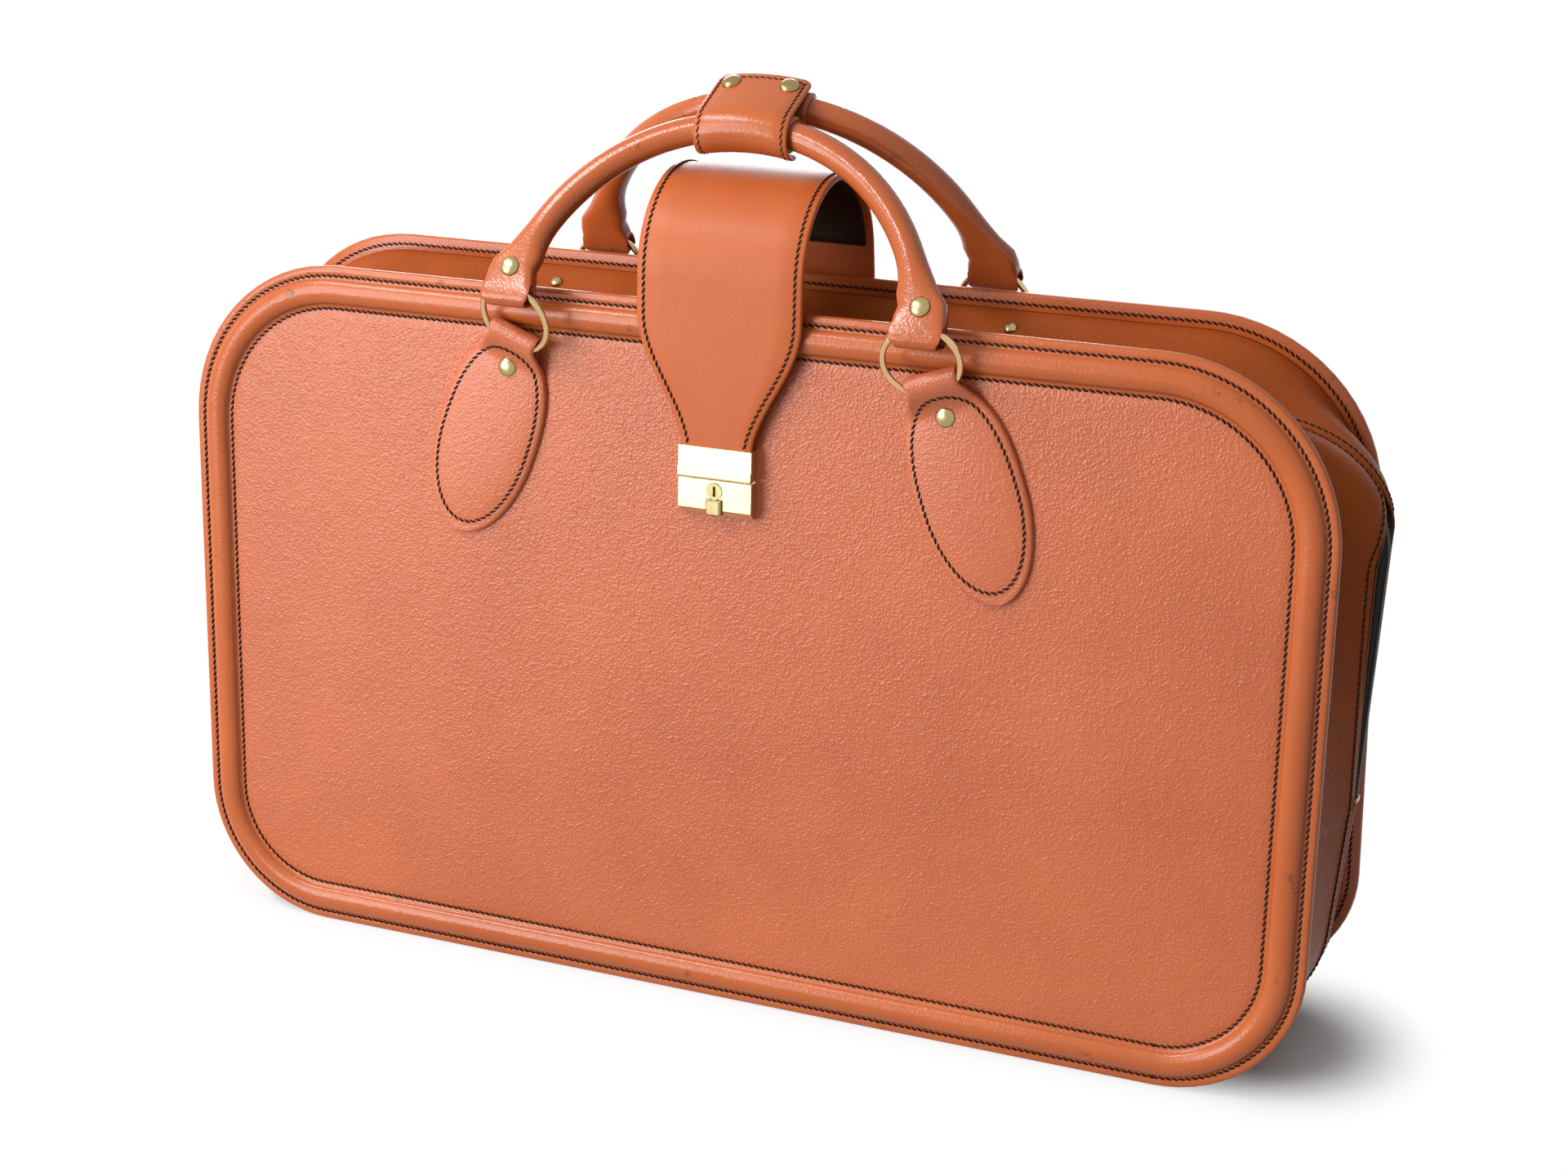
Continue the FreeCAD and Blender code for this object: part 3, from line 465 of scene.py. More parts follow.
def whole_rim(half):
    """The right half up to the middle, then its mirror image."""
    left = []
    for s in half[-2::-1]:
        base, out = s["base"], s["out"]
        left.append(dict(s, base=Vector((-base.x, 0, base.z)), out=Vector((-out.x, 0, out.z))))
    return half + left


def side_offset(z):
    """How far the ridge stands out from the straight side of the panels."""
    if z > ZIP_END:
        return BULGE_LOW + (BULGE_HIGH - BULGE_LOW) * (z - ZIP_END) / (CORNER - ZIP_END)
    low = (BULGE_LOW - SEAM) / 2
    return low + (BULGE_LOW - low) * (z - LOW_RADIUS) / (ZIP_END - LOW_RADIUS)


def upper_rim(start=ZIP_END):
    """Up the right side, over the top and down the left side."""
    half = []
    for k in range(SIDE_STEPS + 1):
        z = start + (CORNER - start) * k / SIDE_STEPS
        share = max(0, (z - ZIP_END) / (CORNER - ZIP_END))
        share = share * (1.5 - 0.5 * share * share)
        hem = HEM_LOW + (HEM_SIDE - HEM_LOW) * share
        half.append(rim_station(WIDTH / 2, z, 0, side_offset(z), hem, z - CORNER))
    for k in range(1, TURN_STEPS + 1):
        angle = 90 * k / TURN_STEPS
        t = radians(angle)
        x, z = WIDTH / 2 - TOP_RADIUS + TOP_RADIUS * cos(t), CORNER + TOP_RADIUS * sin(t)
        share = (1 - cos(pi * min(1, angle / VALLEY_TURN))) / 2
        offset = BULGE_HIGH - (BULGE_HIGH + VALLEY) * share
        half.append(rim_station(x, z, angle, offset, HEM_SIDE, TOP_RADIUS * t))
    for k in range(1, TOP_STEPS + 1):
        half.append(top_station((WIDTH / 2 - TOP_RADIUS) * (1 - k / TOP_STEPS)))
    return whole_rim(half)


def lower_rim():
    """From the foot of the zip down the right side, along the floor and up the left side."""
    half = []
    for k in range(FOOT_STEPS + 1):
        z = ZIP_END + (LOW_RADIUS - ZIP_END) * k / FOOT_STEPS
        half.append(rim_station(WIDTH / 2, z, 0, side_offset(z)))
    for k in range(1, LOW_TURN_STEPS + 1):
        share = k / LOW_TURN_STEPS
        t = radians(-90 * share)
        x, z = WIDTH / 2 - LOW_RADIUS + LOW_RADIUS * cos(t), LOW_RADIUS + LOW_RADIUS * sin(t)
        offset = -SEAM + (1 - share) * (BULGE_LOW + SEAM) / 2
        half.append(rim_station(x, z, -90 * share, offset))
    for k in range(1, FLOOR_STEPS + 1):
        half.append(rim_station((WIDTH / 2 - LOW_RADIUS) * (1 - k / FLOOR_STEPS), 0, -90, -SEAM))
    return whole_rim(half)


def hem_depth(s):
    return s["hem"] + (HEM_CLOSED - s["hem"]) * s["fold"]


def hem_height(s):
    """On the sides the hem lies lower than the zip, which stands out as a ridge."""
    return s["rise"] * (1 - ZIP_RIDGE * (1 - s["fold"]) * hem_depth(s) / HEM_SIDE)


def zip_height(s):
    """On top the zip lies lower than the hems that close over it."""
    return s["rise"] - ZIP_DIP * s["fold"]


def over(s, t):
    """Depth and height at a share of the way from seam to hem: a slope that rolls over where it folds."""
    y0, y1 = s["y"], -hem_depth(s)
    roll = ROLL * s["fold"] * sin(pi * t) ** 2 * t
    slope, rolled = t ** SIDE_POWER, 3 * t * t - 2 * t ** 3
    return y0 + (y1 - y0) * t, hem_height(s) * (slope + (rolled - slope) * s["fold"]) + roll


def curve_over(s):
    return [over(s, k / STRIP_STEPS) for k in range(STRIP_STEPS + 1)]


def at(s, depth, height, back):
    """The point at a depth and height of a station, or its mirror image behind."""
    p = s["base"] + s["out"] * height
    return Vector((p.x, -depth if back else depth, p.z))


def strip_ring(s, back, lift):
    """Section of a gusset strip with a folded hem beside the zip."""
    top = [(y, h + lift) for y, h in curve_over(s)]
    edge_y, edge_h = top[-1]
    ring = [at(s, y, h, back) for y, h in top[:-1]]
    ring.append(at(s, edge_y, edge_h - HEM_ROUND, back))
    ring.append(at(s, edge_y + HEM_ROUND, edge_h - HEM_EDGE, back))
    ring += [at(s, y, h - STRIP_THICK - HEM_ROUND, back) for y, h in top[::-1]]
    return ring


def settle(obj, side):
    """The back strip rides on the back; the front one stays in place, its transform baked into its points."""
    if side == "back":
        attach(obj, "case_back")
    else:
        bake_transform(obj)
        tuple(V_START)
        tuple(V_END)


def hem_line(stations, back):
    """Line of stitches beside the hem, with the ways they face."""
    line = []
    for s in stations:
        depth, height = over(s, 1 - HEM_SEAM / (-s["y"] - hem_depth(s)))
        line.append(at(s, depth, height, back))
    return line, [s["out"] for s in stations]


def flat_strip(stations, line):
    """Size and area of a strip laid flat, from its sections along the rim."""
    rows = [line(s) for s in stations]
    wide = [sum((Vector(b) - Vector(a)).length for a, b in zip(row, row[1:])) for row in rows]
    middle = [at(s, *row[len(row) // 2], False) for s, row in zip(stations, rows)]
    runs = [(b - a).length for a, b in zip(middle, middle[1:])]
    area = sum(run * (a + b) / 2 for run, a, b in zip(runs, wide, wide[1:]))
    return (max(wide), sum(runs)), area


# Zip: tapes from under the hems to the coil, which is a low rail with turns lying across it
COIL, COIL_START = 0.0034, 0.1535
TAPE_TUCK, TAPE_SINK, TAPE_THICK = 0.001, 0.0008, 0.0012
RAIL_GAP, RAIL_OUTER, RAIL_INNER, RAIL_LOW = 0.0002, 0.0010, 0.0003, 0.0020
TURN_SINK = 0.0006


def tape_ring(s, back):
    wide, high, low = hem_depth(s) + TAPE_TUCK, hem_height(s) - TAPE_SINK, zip_height(s) - TAPE_SINK
    ends = ((-wide, high), (-COIL, low), (-COIL, low - TAPE_THICK), (-wide, high - TAPE_THICK))
    return [at(s, y, h, back) for y, h in ends]


def tape_line(s):
    return [(-hem_depth(s) - TAPE_TUCK, hem_height(s)), (-COIL, zip_height(s))]


def rail_ring(s, back):
    h = zip_height(s)
    ends = ((-COIL, RAIL_OUTER), (-RAIL_GAP, RAIL_INNER), (-RAIL_GAP, RAIL_LOW), (-COIL, RAIL_LOW))
    return [at(s, y, h - drop, back) for y, drop in ends]


rim, lapped_rim = upper_rim(), upper_rim(ZIP_END - LAP)
lifts = [-LAP_UP] + [LAP_UP] * (len(lapped_rim) - 2) + [-LAP_UP]
for side, back in (("front", False), ("back", True)):
    rings = [strip_ring(s, back, lift) for s, lift in zip(lapped_rim, lifts)]
    verts, faces = loft(rings, turned=back)
    # The strips wear the darker gusset hide, whose colour holds painted shade
    skin = mesh(side + "_gusset_skin", verts, faces, SHADED_GUSSET_HIDE, None, (side + "_gusset",), "tan_leather")
    settle(skin, side)
    seam = sew(side + "_gusset", [hem_line(rim, back)])
    settle(seam, side)
    flat_strip(lapped_rim, curve_over)
    verts, faces = loft([tape_ring(s, back) for s in rim], turned=back)
    tape = mesh(side + "_tape", verts, faces, TAPE_CLOTH, None, (side + "_zip_tape",), "zip_tape")
    settle(tape, side)
    flat_strip(rim, tape_line)

coil_rim = upper_rim(COIL_START)
coil_ways = [s["out"] for s in coil_rim]
for side, back in (("front", False), ("back", True)):
    rail = loft([rail_ring(s, back) for s in coil_rim], turned=back)
    line = [at(s, -COIL / 2, zip_height(s) - TURN_SINK, back) for s in coil_rim]
    turns = stitches([(line, coil_ways)], pitch=0.0017, length=0.0031, thick=0.0006, slant=6.0)
    # Rail and turns wear the coil material, lightened as a painted glint
    obj = mesh(side + "_coil", *joined(rail, turns), COIL_DARK_GLINT, None, (side + "_zip_coil",), "zip_coil")
    settle(obj, side)


# Lower gusset, from panel to panel


CREST_SINK, CREASE_HALF, CREASE_DEEP, BASE_THICK = 0.0008, 0.0012, 0.0015, 0.0020


def base_line(s):
    """Outer line from panel to panel, with a crease where the two hems meet."""
    crest = s["rise"] - CREST_SINK
    half = curve_over(s) + [(-CREASE_HALF, crest)]
    return half + [(0, crest - CREASE_DEEP)] + [(-y, h) for y, h in half[::-1]]


def base_ring(s):
    top = base_line(s)
    return [at(s, y, h, False) for y, h in top] + [at(s, y, h - BASE_THICK, False) for y, h in top[::-1]]


low_rim = lower_rim()
verts, faces = loft([base_ring(s) for s in low_rim])
# The lower gusset wears the darker gusset hide, whose colour holds painted shade
base = mesh("base_gusset_skin", verts, faces, SHADED_GUSSET_HIDE, None, ("base_gusset",), "tan_leather")
base_seam = sew("base_gusset", [hem_line(low_rim, False), hem_line(low_rim, True)])
for obj in (base, base_seam):
    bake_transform(obj)
    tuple(BASE_START)
    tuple(BASE_END)
flat_strip(low_rim, base_line)


# Bands: rows of rounded sections along a path


BAND_STEPS = 6
EDGE_SHARE, EDGE_MOST, EDGE_CUT = 0.45, 0.0014, 0.3
# The faces of a section along its flat low side
UNDERSIDE = range(BAND_STEPS + 6, 2 * BAND_STEPS + 6)


def section(centre, up, half, top, low, sag=None):
    """Flat section across a band, with rounded edges; sag moves its points by their place across."""
    r = min(EDGE_SHARE * (top - low), EDGE_MOST)
    cut = EDGE_CUT * r
    flat = [-half + r + (2 * half - 2 * r) * k / BAND_STEPS for k in range(BAND_STEPS + 1)]
    edge = [(-half, (top + low) / 2), (-half + cut, top - cut)] + [(x, top) for x in flat]
    edge += [(half - cut, top - cut), (half, (top + low) / 2), (half - cut, low + cut)]
    edge += [(x, low) for x in flat[::-1]] + [(-half + cut, low + cut)]
    points = [centre + X_AXIS * x + up * h for x, h in edge]
    if sag:
        points = [p + sag(x) for p, (x, h) in zip(points, edge)]
    return points


def normals(path):
    """Unit normals along a path in the middle plane, which point up at its middle."""
    result = []
    for k in range(len(path)):
        a, b = path[max(0, k - 1)], path[min(len(path) - 1, k + 1)]
        result.append((b - a).cross(X_AXIS).normalized())
    if result[len(result) // 2].z < 0:
        result = [-n for n in result]
    return result


def flat_band(path, halves):
    """Size and area of a band laid flat, from half widths along its path."""
    runs = [(b - a).length for a, b in zip(path, path[1:])]
    area = sum(run * (a + b) for run, a, b in zip(runs, halves, halves[1:]))
    return (2 * max(halves), sum(runs)), area


# Wide strap from the back panel over the top to the lock


STRAP_MID, STRAP_THICK = 0.0071, 0.0032
STRAP_WIDE, STRAP_NARROW = 0.047, 0.0205
# Sewn root on the back panel: height, distance of the strap's middle from the panel
ROOT = ((0.316, 0.0019), (0.335, 0.0019), (0.352, 0.0019), (0.361, 0.0022), (0.366, 0.0034), (0.371, 0.0056),
        (0.376, 0.0068), (0.382, STRAP_MID), (0.394, STRAP_MID))
ARCH_Z, ARCH_RADIUS, ARCH_STEPS = 0.40426, 0.05014, 32
FALL_TOP, FALL_LOW, FALL_STEPS = 0.4083, 0.3065, 33
FLARE_LOW, FLARE_TOP, FLARE_SINE, FLARE_WAVE = 0.321, 0.388, 0.35, 0.65
UNDERLAY_INSET, UNDERLAY_IN, UNDERLAY_OUT = 0.004, 0.0002, 0.0008
STRAP_SEAM, ROOT_SEAM_SHARE, CLIP_ROWS = 0.0042, 0.2, 4
BEND_START, BEND_END = (0, 0.030, 0.45), (0, -0.030, 0.45)


def strap_path():
    """Middle line of the strap, from its root to the clip, with its half widths."""
    path = [on_back(0, d, z) for z, d in ROOT]
    for k in range(ARCH_STEPS + 1):
        t = LEAN + (pi - 2 * LEAN) * k / ARCH_STEPS
        path.append(Vector((0, ARCH_RADIUS * cos(t), ARCH_Z + ARCH_RADIUS * sin(t))))
    halves = [STRAP_WIDE] * len(path)
    for k in range(1, FALL_STEPS + 1):
        z = FALL_TOP + (FALL_LOW - FALL_TOP) * k / FALL_STEPS
        share = clamped((z - FLARE_LOW) / (FLARE_TOP - FLARE_LOW))
        flare = FLARE_SINE * sin(pi * share / 2) + FLARE_WAVE * (1 - cos(pi * share)) / 2
        path.append(on_front(0, STRAP_MID, z))
        halves.append(STRAP_NARROW + (STRAP_WIDE - STRAP_NARROW) * flare)
    return path, halves


path, halves = strap_path()
ups = normals(path)
skin = STRAP_THICK / 2
rows = [section(p, n, w, skin, -skin) for p, n, w in zip(path, ups, halves)]
strap = mesh("strap_leather", *loft(rows), STRAP_HIDE, None, ("closure_strap", "strap_anchor"), "tan_leather")
free = slice(len(ROOT), None)
inner = [w - UNDERLAY_INSET for w in halves[free]]
top, low = -skin + UNDERLAY_IN, -skin - UNDERLAY_OUT
rows = [section(p, n, w, top, low) for p, n, w in zip(path[free], ups[free], inner)]
under = mesh("strap_underlay", *loft(rows), DARK_HIDE, None, ("strap_lining", "anchor_lining"), "dark_lining")
lines, lift = [], skin - THREAD_SINK
for sign in (-1, 1):
    edge = [p + X_AXIS * sign * (w - STRAP_SEAM) + n * lift for p, n, w in zip(path, ups, halves)]
    lines.append((edge[:-CLIP_ROWS], ups))
root, start = [], (path[1] - path[0]) * ROOT_SEAM_SHARE
for x in (-STRAP_WIDE + STRAP_SEAM, 0, STRAP_WIDE - STRAP_SEAM):
    root.append(path[0] + X_AXIS * x + ups[0] * lift + start)
lines.append((root, ups[0]))
seam = sew("strap", lines)
for obj in (strap, under, seam):
    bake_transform(obj)
    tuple(BEND_START)
    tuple(BEND_END)
flat_band(path, halves)
flat_band(path[free], inner)


# Handle tabs: oval leaf, neck, and a loop round the ring. On a leaf v runs across and u along it


LEAF_X, LEAF_Z, LEAF_TILT = 0.14033, 0.307, radians(19.5)
LEAF_LONG, LEAF_SHORT, LEAF_POWER, LEAF_TIP = 0.057, 0.0305, 2.6, 0.0006
LEAF_UP, LEAF_LOW, LEAF_FILL = 0.0044, 0.0001, 0.4
MARGIN, MARGIN_LOW, MARGIN_ROUND = 0.0022, 0.45, 0.55
PAD_UP, PAD_POWER = 0.0016, 0.6
NECK_LOW, NECK_TOP = 0.044, 0.060
RAMP_LOW, RAMP_TOP, RAMP_UP = 0.046, 0.0625, 0.0131
OVAL_SHORT, OVAL_LOW, OVAL_TOP, OVAL_POWER = 0.0262, 0.0500, 0.0550, 2.4
LOOP_D, LOOP_U, LOOP_RADIUS, LOOP_HALF = 0.0086, 0.0646, 0.0025, 0.0145
LOOP_WALL, LOOP_THIN, LOOP_THIN_POWER = 0.0021, 0.0006, 12
LOOP_TAIL = [(0.0061, 0.0610), (0.0050, 0.0570), (0.0030, 0.0530)]
LOW_ROWS, TOP_ROWS, TIP_TRIM = 20, 26, 0.00005
LOOP_STEPS, ACROSS_STEPS, OVAL_STEPS = 12, 24, 120
TAB_STUD_U, TAB_STUD_UP = 0.0445, 0.0006


def on_leaf(place, sign):
    c, s = cos(LEAF_TILT), sin(LEAF_TILT)
    return lambda v, d, u: place(sign * (LEAF_X + v * c - u * s), d, LEAF_Z + v * s + u * c)


def leaf_half(u):
    """Half width: an oval that is fuller above its middle, then straight edges up to the loop."""
    if u < 0:
        return max(LEAF_TIP, LEAF_SHORT * sqrt(max(0, 1 - (u / LEAF_LONG) ** 2)))
    full = LEAF_SHORT * (1 - (min(u, NECK_LOW) / LEAF_LONG) ** LEAF_POWER) ** (1 / LEAF_POWER)
    return full + (LOOP_HALF - full) * clamped((u - NECK_LOW) / (NECK_TOP - NECK_LOW))


def oval(v, u):
    """1 on the sewn oval and less inside it."""
    if u < 0:
        return hypot(v / OVAL_SHORT, u / OVAL_LOW)
    return ((abs(v) / OVAL_SHORT) ** OVAL_POWER + (u / OVAL_TOP) ** OVAL_POWER) ** (1 / OVAL_POWER)


def ramp(u):
    """How far the neck has risen from the panel to the ring."""
    return eased((u - RAMP_LOW) / (RAMP_TOP - RAMP_LOW))


def leaf_height(v, u, half):
    """Outer face: padded inside the sewn oval, with a rounded margin and a neck that rises to the ring."""
    edge = clamped((half - abs(v)) / MARGIN)
    height = LEAF_UP * (MARGIN_LOW + MARGIN_ROUND * sqrt(edge * (2 - edge)))
    height += PAD_UP * max(0, 1 - oval(v, u) ** 2) ** PAD_POWER
    return height + (RAMP_UP - LEAF_UP) * ramp(u)


def leaf_rows():
    rows = [-LEAF_LONG * cos(pi / 2 * k / LOW_ROWS) for k in range(LOW_ROWS)]
    rows[0] += TIP_TRIM
    return rows + [RAMP_TOP * k / TOP_ROWS for k in range(TOP_ROWS + 1)]


def loop_rows():
    """Inner face of the loop round the ring and of the tail behind it: distance from the panel, u."""
    rows = []
    for k in range(LOOP_STEPS + 1):
        t = pi * k / LOOP_STEPS
        rows.append((LOOP_D + LOOP_RADIUS * cos(t), LOOP_U + LOOP_RADIUS * sin(t)))
    return rows + LOOP_TAIL


def oval_line(spot):
    """Line of stitches round the padded oval."""
    line = []
    for k in range(OVAL_STEPS + 1):
        t = 2 * pi * k / OVAL_STEPS
        v, u = sin(t), cos(t)
        if u < 0:
            v, u = v * OVAL_SHORT, u * OVAL_LOW
        else:
            v = copysign(abs(v) ** (2 / OVAL_POWER), v) * OVAL_SHORT
            u = u ** (2 / OVAL_POWER) * OVAL_TOP
        line.append(spot(v, leaf_height(v, u, leaf_half(u)) + THREAD_LIFT, u))
    return line


def tab(node_name, spot, body, turned):
    """Leather of one tab: the leaf and its neck, then the loop and its tail."""
    across = [sin(pi / 2 * (-1 + 2 * i / ACROSS_STEPS)) for i in range(ACROSS_STEPS + 1)]
    rings = []
    for u in leaf_rows():
        half = leaf_half(u)
        low = LEAF_LOW + (RAMP_UP - LOOP_WALL) * ramp(u)
        top = [spot(half * v, leaf_height(half * v, u, half), u) for v in across]
        rings.append(top + [spot(half * v, low, u) for v in across[::-1]])
    rows = loop_rows()
    for k, (d, u) in enumerate(rows):
        a, b = rows[max(0, k - 1)], rows[min(len(rows) - 1, k + 1)]
        run = hypot(b[0] - a[0], b[1] - a[1])
        nd, nu = (b[1] - a[1]) / run, -(b[0] - a[0]) / run
        top = []
        for v in across:
            wall = LOOP_WALL - LOOP_THIN * abs(v) ** LOOP_THIN_POWER
            top.append(spot(LOOP_HALF * v, d + nd * wall, u + nu * wall))
        rings.append(top + [spot(LOOP_HALF * v, d, u) for v in across[::-1]])
    verts, faces = loft(rings, turned=turned)
    obj = mesh(node_name + "_leather", verts, faces, LEAF_HIDE, body, (node_name,), "tan_leather")


# Dome of a stud, in shares of its radius and height
DOME = ((1.0, -0.25), (1.0, 0.12), (0.95, 0.40), (0.80, 0.70), (0.55, 0.90), (0.28, 0.98))
DOME_SIDES = 24


def domes(name, spots, body, nodes, radius=0.0054, height=0.0026, mat=BRASS):
    """Stud heads at several places, each with the way it faces."""
    parts = []
    for centre, up in spots:
        side = up.orthogonal().normalized()
        other = up.cross(side)
        spokes = [side * cos(t) + other * sin(t) for t in circle(DOME_SIDES)]
        rings = [[centre + spoke * radius * r + up * height * h for spoke in spokes] for r, h in DOME]
        verts, faces = loft(rings, caps=False)
        top, last = len(verts), len(verts) - DOME_SIDES
        verts.append(centre + up * height)
        faces += [(last + k, last + (k + 1) % DOME_SIDES, top) for k in range(DOME_SIDES)]
        faces.append(tuple(range(DOME_SIDES))[::-1])
        parts.append((verts, faces))
    mesh(name, *joined(*parts), mat, body, nodes, "brass")


for side, place, body, back in CASE_SIDES:
    label = "rear" if back else side
    out = place(0, 1, 0) - place(0, 0, 0)
    sewn, studs = [], []
    for hand, sign in (("left", -1), ("right", 1)):
        spot = on_leaf(place, sign)
        tab("%s_%s_tab" % (label, hand), spot, body, (sign < 0) == back)
        sewn.append((oval_line(spot), out))
        studs.append((spot(0, LEAF_UP + TAB_STUD_UP, TAB_STUD_U), out))
    sew(label + "_tab", sewn, body)
    domes(label + "_tab_domes", studs, body, (label + "_tab_studs",))


# Handles: a tube along an arch that flattens at its ends and folds round the ring


HANDLE_ARCH, ARCH_DROP, ARCH_END, TUBE = 0.116, 0.014, 0.022, 0.0075
TUBE_STEPS, TUBE_SIDES = 30, 28
END_X, END_HALF, END_DEEP, END_DROP = 0.115152, 0.014, 0.0051, 0.0029
END_LOW, END_HIGH = 0.0045, 0.044
END_SQUARE, END_WIDEN, END_TAPER, SQUARE_RUN = 3.0, 1.3, 0.20, 0.02
# Rows of the straight end below the arch: how far in from the end's middle, height
END_ROWS = ((0.0, END_LOW), (0.0, 0.009), (0.0002, 0.0145))
FLAT_POWER = 2 / (2 + END_SQUARE)
BORE, BORE_FLARE = 0.0042, 1.14
FOLD_STEPS, LIP_STEPS = 12, 14
STUD_H = 0.0125
STRANDS, STRAND, STRAND_SIDES = 3, 0.00255, 10
ROPE_LAY, ROPE_TURN = 0.030, 60
# Half of the wrap's sleeve: place along the handle, radius
SLEEVE = [(-0.0260, 0.0078), (-0.0259, 0.0092), (-0.0253, 0.0098), (-0.0240, 0.0100), (-0.012, 0.0100),
          (0.0, 0.0100)]


def handle_place(pivot, lean, back):
    """Points by x, distance t in front of the handle's plane, and height h along it."""
    c, s = cos(lean), sin(lean)

    def place(x, t, h):
        y, z = pivot[0] + h * s - t * c, pivot[1] + h * c + t * s
        return Vector((x, -y if back else y, z))
    return place


def end_share(h):
    return eased((END_HIGH - h) / (END_HIGH - END_LOW))


def tube_depth(h):
    return TUBE + (END_DEEP - TUBE) * end_share(h)


def tube_ring(place, x, h, beta):
    """Section of the tube, round along the arch, and wide, flat and square to the ring at its ends."""
    share = end_share(h)
    a, b = TUBE + (END_HALF - TUBE) * share ** END_WIDEN, tube_depth(h)
    power = 2 / (2 + END_SQUARE * share ** 3)
    square = max(0, 1 - abs(h - END_LOW) / SQUARE_RUN)
    sign = 1 if x > 0 else -1
    rx, rh = sin(beta), cos(beta)
    rx, rh = rx + (sign - rx) * square, rh * (1 - square)
    size = hypot(rx, rh)
    ring = []
    for t in circle(TUBE_SIDES):
        p, q = cos(t), sin(t)
        p = copysign(abs(p) ** power, p) * a
        q = copysign(abs(q) ** power, q) * b
        ring.append(place(x + p * rx / size, q, h + p * rh / size))
    return ring


def handle_fold(place, sign):
    """Leather of the flattened end, led round the ring from the front of the tube's end to its back."""
    outer = [(END_DEEP, END_LOW), (END_DEEP, END_LOW / 2), (END_DEEP, 0.0)]
    inner = [(0.0, END_LOW), (0.85 * BORE, 0.75 * END_LOW), (BORE, 0.0)]
    back = [[(-t, h) for t, h in line[::-1]] for line in (outer, inner)]
    for k in range(FOLD_STEPS + 1):
        c, s = cos(pi * k / FOLD_STEPS), sin(pi * k / FOLD_STEPS)
        outer.append((END_DEEP * c, -END_DROP - END_DEEP * s))
        inner.append((BORE * c, -END_DROP - BORE * s))
    rings = []
    for (t1, h1), (t0, h0) in zip(outer + back[0], inner + back[1]):
        wide = END_HALF * (1 - END_TAPER * max(0, -h1 - END_DROP) ** 2 / END_DEEP ** 2)
        ring = []
        for k in range(LIP_STEPS + 1):
            c, s = cos(pi * k / LIP_STEPS), sin(pi * k / LIP_STEPS)
            between = 0 < k < LIP_STEPS
            p = copysign(abs(c) ** FLAT_POWER, c)
            q = abs(s) ** FLAT_POWER if between else 0.0
            flare = 1 if between else BORE_FLARE
            ring.append(place(sign * (END_X + p * wide), flare * t0 + (t1 - t0) * q, h0 + (h1 - h0) * q))
        for p in (-0.5, 0, 0.5):
            ring.append(place(sign * (END_X + p * wide), t0, h0))
        rings.append(ring)
    return loft(rings, caps=False)


def weld(obj):
    """Join points that lie together, and turn every face outwards."""
    work = bmesh.new()
    work.from_mesh(obj.data)
    bmesh.ops.remove_doubles(work, verts=work.verts, dist=0.000005)
    bmesh.ops.recalc_face_normals(work, faces=work.faces)
    work.to_mesh(obj.data)
    work.free()


def handle(place, body):
    """Leather of one handle: the tube, then the folds at its two ends."""
    last = acos((ARCH_DROP + ARCH_END) / HANDLE_ARCH)
    end = [(END_X - inwards, h, last) for inwards, h in END_ROWS]
    spine = [(-x, h, -beta) for x, h, beta in end]
    for k in range(-TUBE_STEPS, TUBE_STEPS + 1):
        beta = last * k / TUBE_STEPS
        spine.append((HANDLE_ARCH * sin(beta), HANDLE_ARCH * cos(beta) - ARCH_DROP, beta))
    spine += end[::-1]
    tube = loft([tube_ring(place, x, h, beta) for x, h, beta in spine], caps=False)
    verts, faces = joined(tube, handle_fold(place, -1), handle_fold(place, 1))
    weld(mesh(body + "_leather", verts, faces, HANDLE_HIDE, body, (body,), "tan_leather"))


def on_arch(place, beta, reach, t):
    """A point at an angle from the crown, at a distance from the arch's centre and from its plane."""
    return place(reach * sin(beta), t, reach * cos(beta) - ARCH_DROP)


def rope(label, place, body):
    """Three strands twisted along the arch, inside the leather tube."""
    parts = []
    for strand in range(STRANDS):
        rings = []
        for k in range(-ROPE_TURN, ROPE_TURN + 1):
            beta = radians(k)
            twist = 2 * pi * (strand / STRANDS + HANDLE_ARCH * beta / ROPE_LAY)
            reach, t = HANDLE_ARCH + STRAND * cos(twist), STRAND * sin(twist)
            ring = []
            for a in circle(STRAND_SIDES):
                ring.append(on_arch(place, beta, reach + STRAND * cos(a), t + STRAND * sin(a)))
            rings.append(ring)
        parts.append(loft(rings))
    weld(mesh(label + "_rope", *joined(*parts), ROPE, body, (body + "_core",), "rope"))


def sleeve(label, place, body, back):
    """Leather of the wrap round the crown of one handle."""
    rings = []
    for x, r in SLEEVE + [(-x, r) for x, r in SLEEVE[-2::-1]]:
        beta = asin(x / HANDLE_ARCH)
        turns = circle(TUBE_SIDES)
        rings.append([on_arch(place, beta, HANDLE_ARCH + r * cos(t), r * sin(t)) for t in turns])
    verts, faces = loft(rings, turned=not back)
    mesh(label + "_sleeve", verts, faces, TRIM_HIDE, body, (body + "_sleeve",), "tan_leather")


FRONT_HANDLE = handle_place((-0.0659030, 0.3942475), radians(33.10043), False)
REAR_HANDLE = handle_place((-0.0534869, 0.3960564), radians(25.11154), True)
for label, place, back in (("front", FRONT_HANDLE, False), ("rear", REAR_HANDLE, True)):
    body = label + "_handle"
    handle(place, body)
    rope(label, place, body)
    out = place(0, 1, 0) - place(0, 0, 0)
    studs = [(place(sign * END_X, tube_depth(STUD_H), STUD_H), out) for sign in (-1, 1)]
    domes(label + "_handle_domes", studs, body, (body + "_studs",))
    sleeve(label, place, body, back)


# Wrap over both handles: round the front one, then back over the rear one


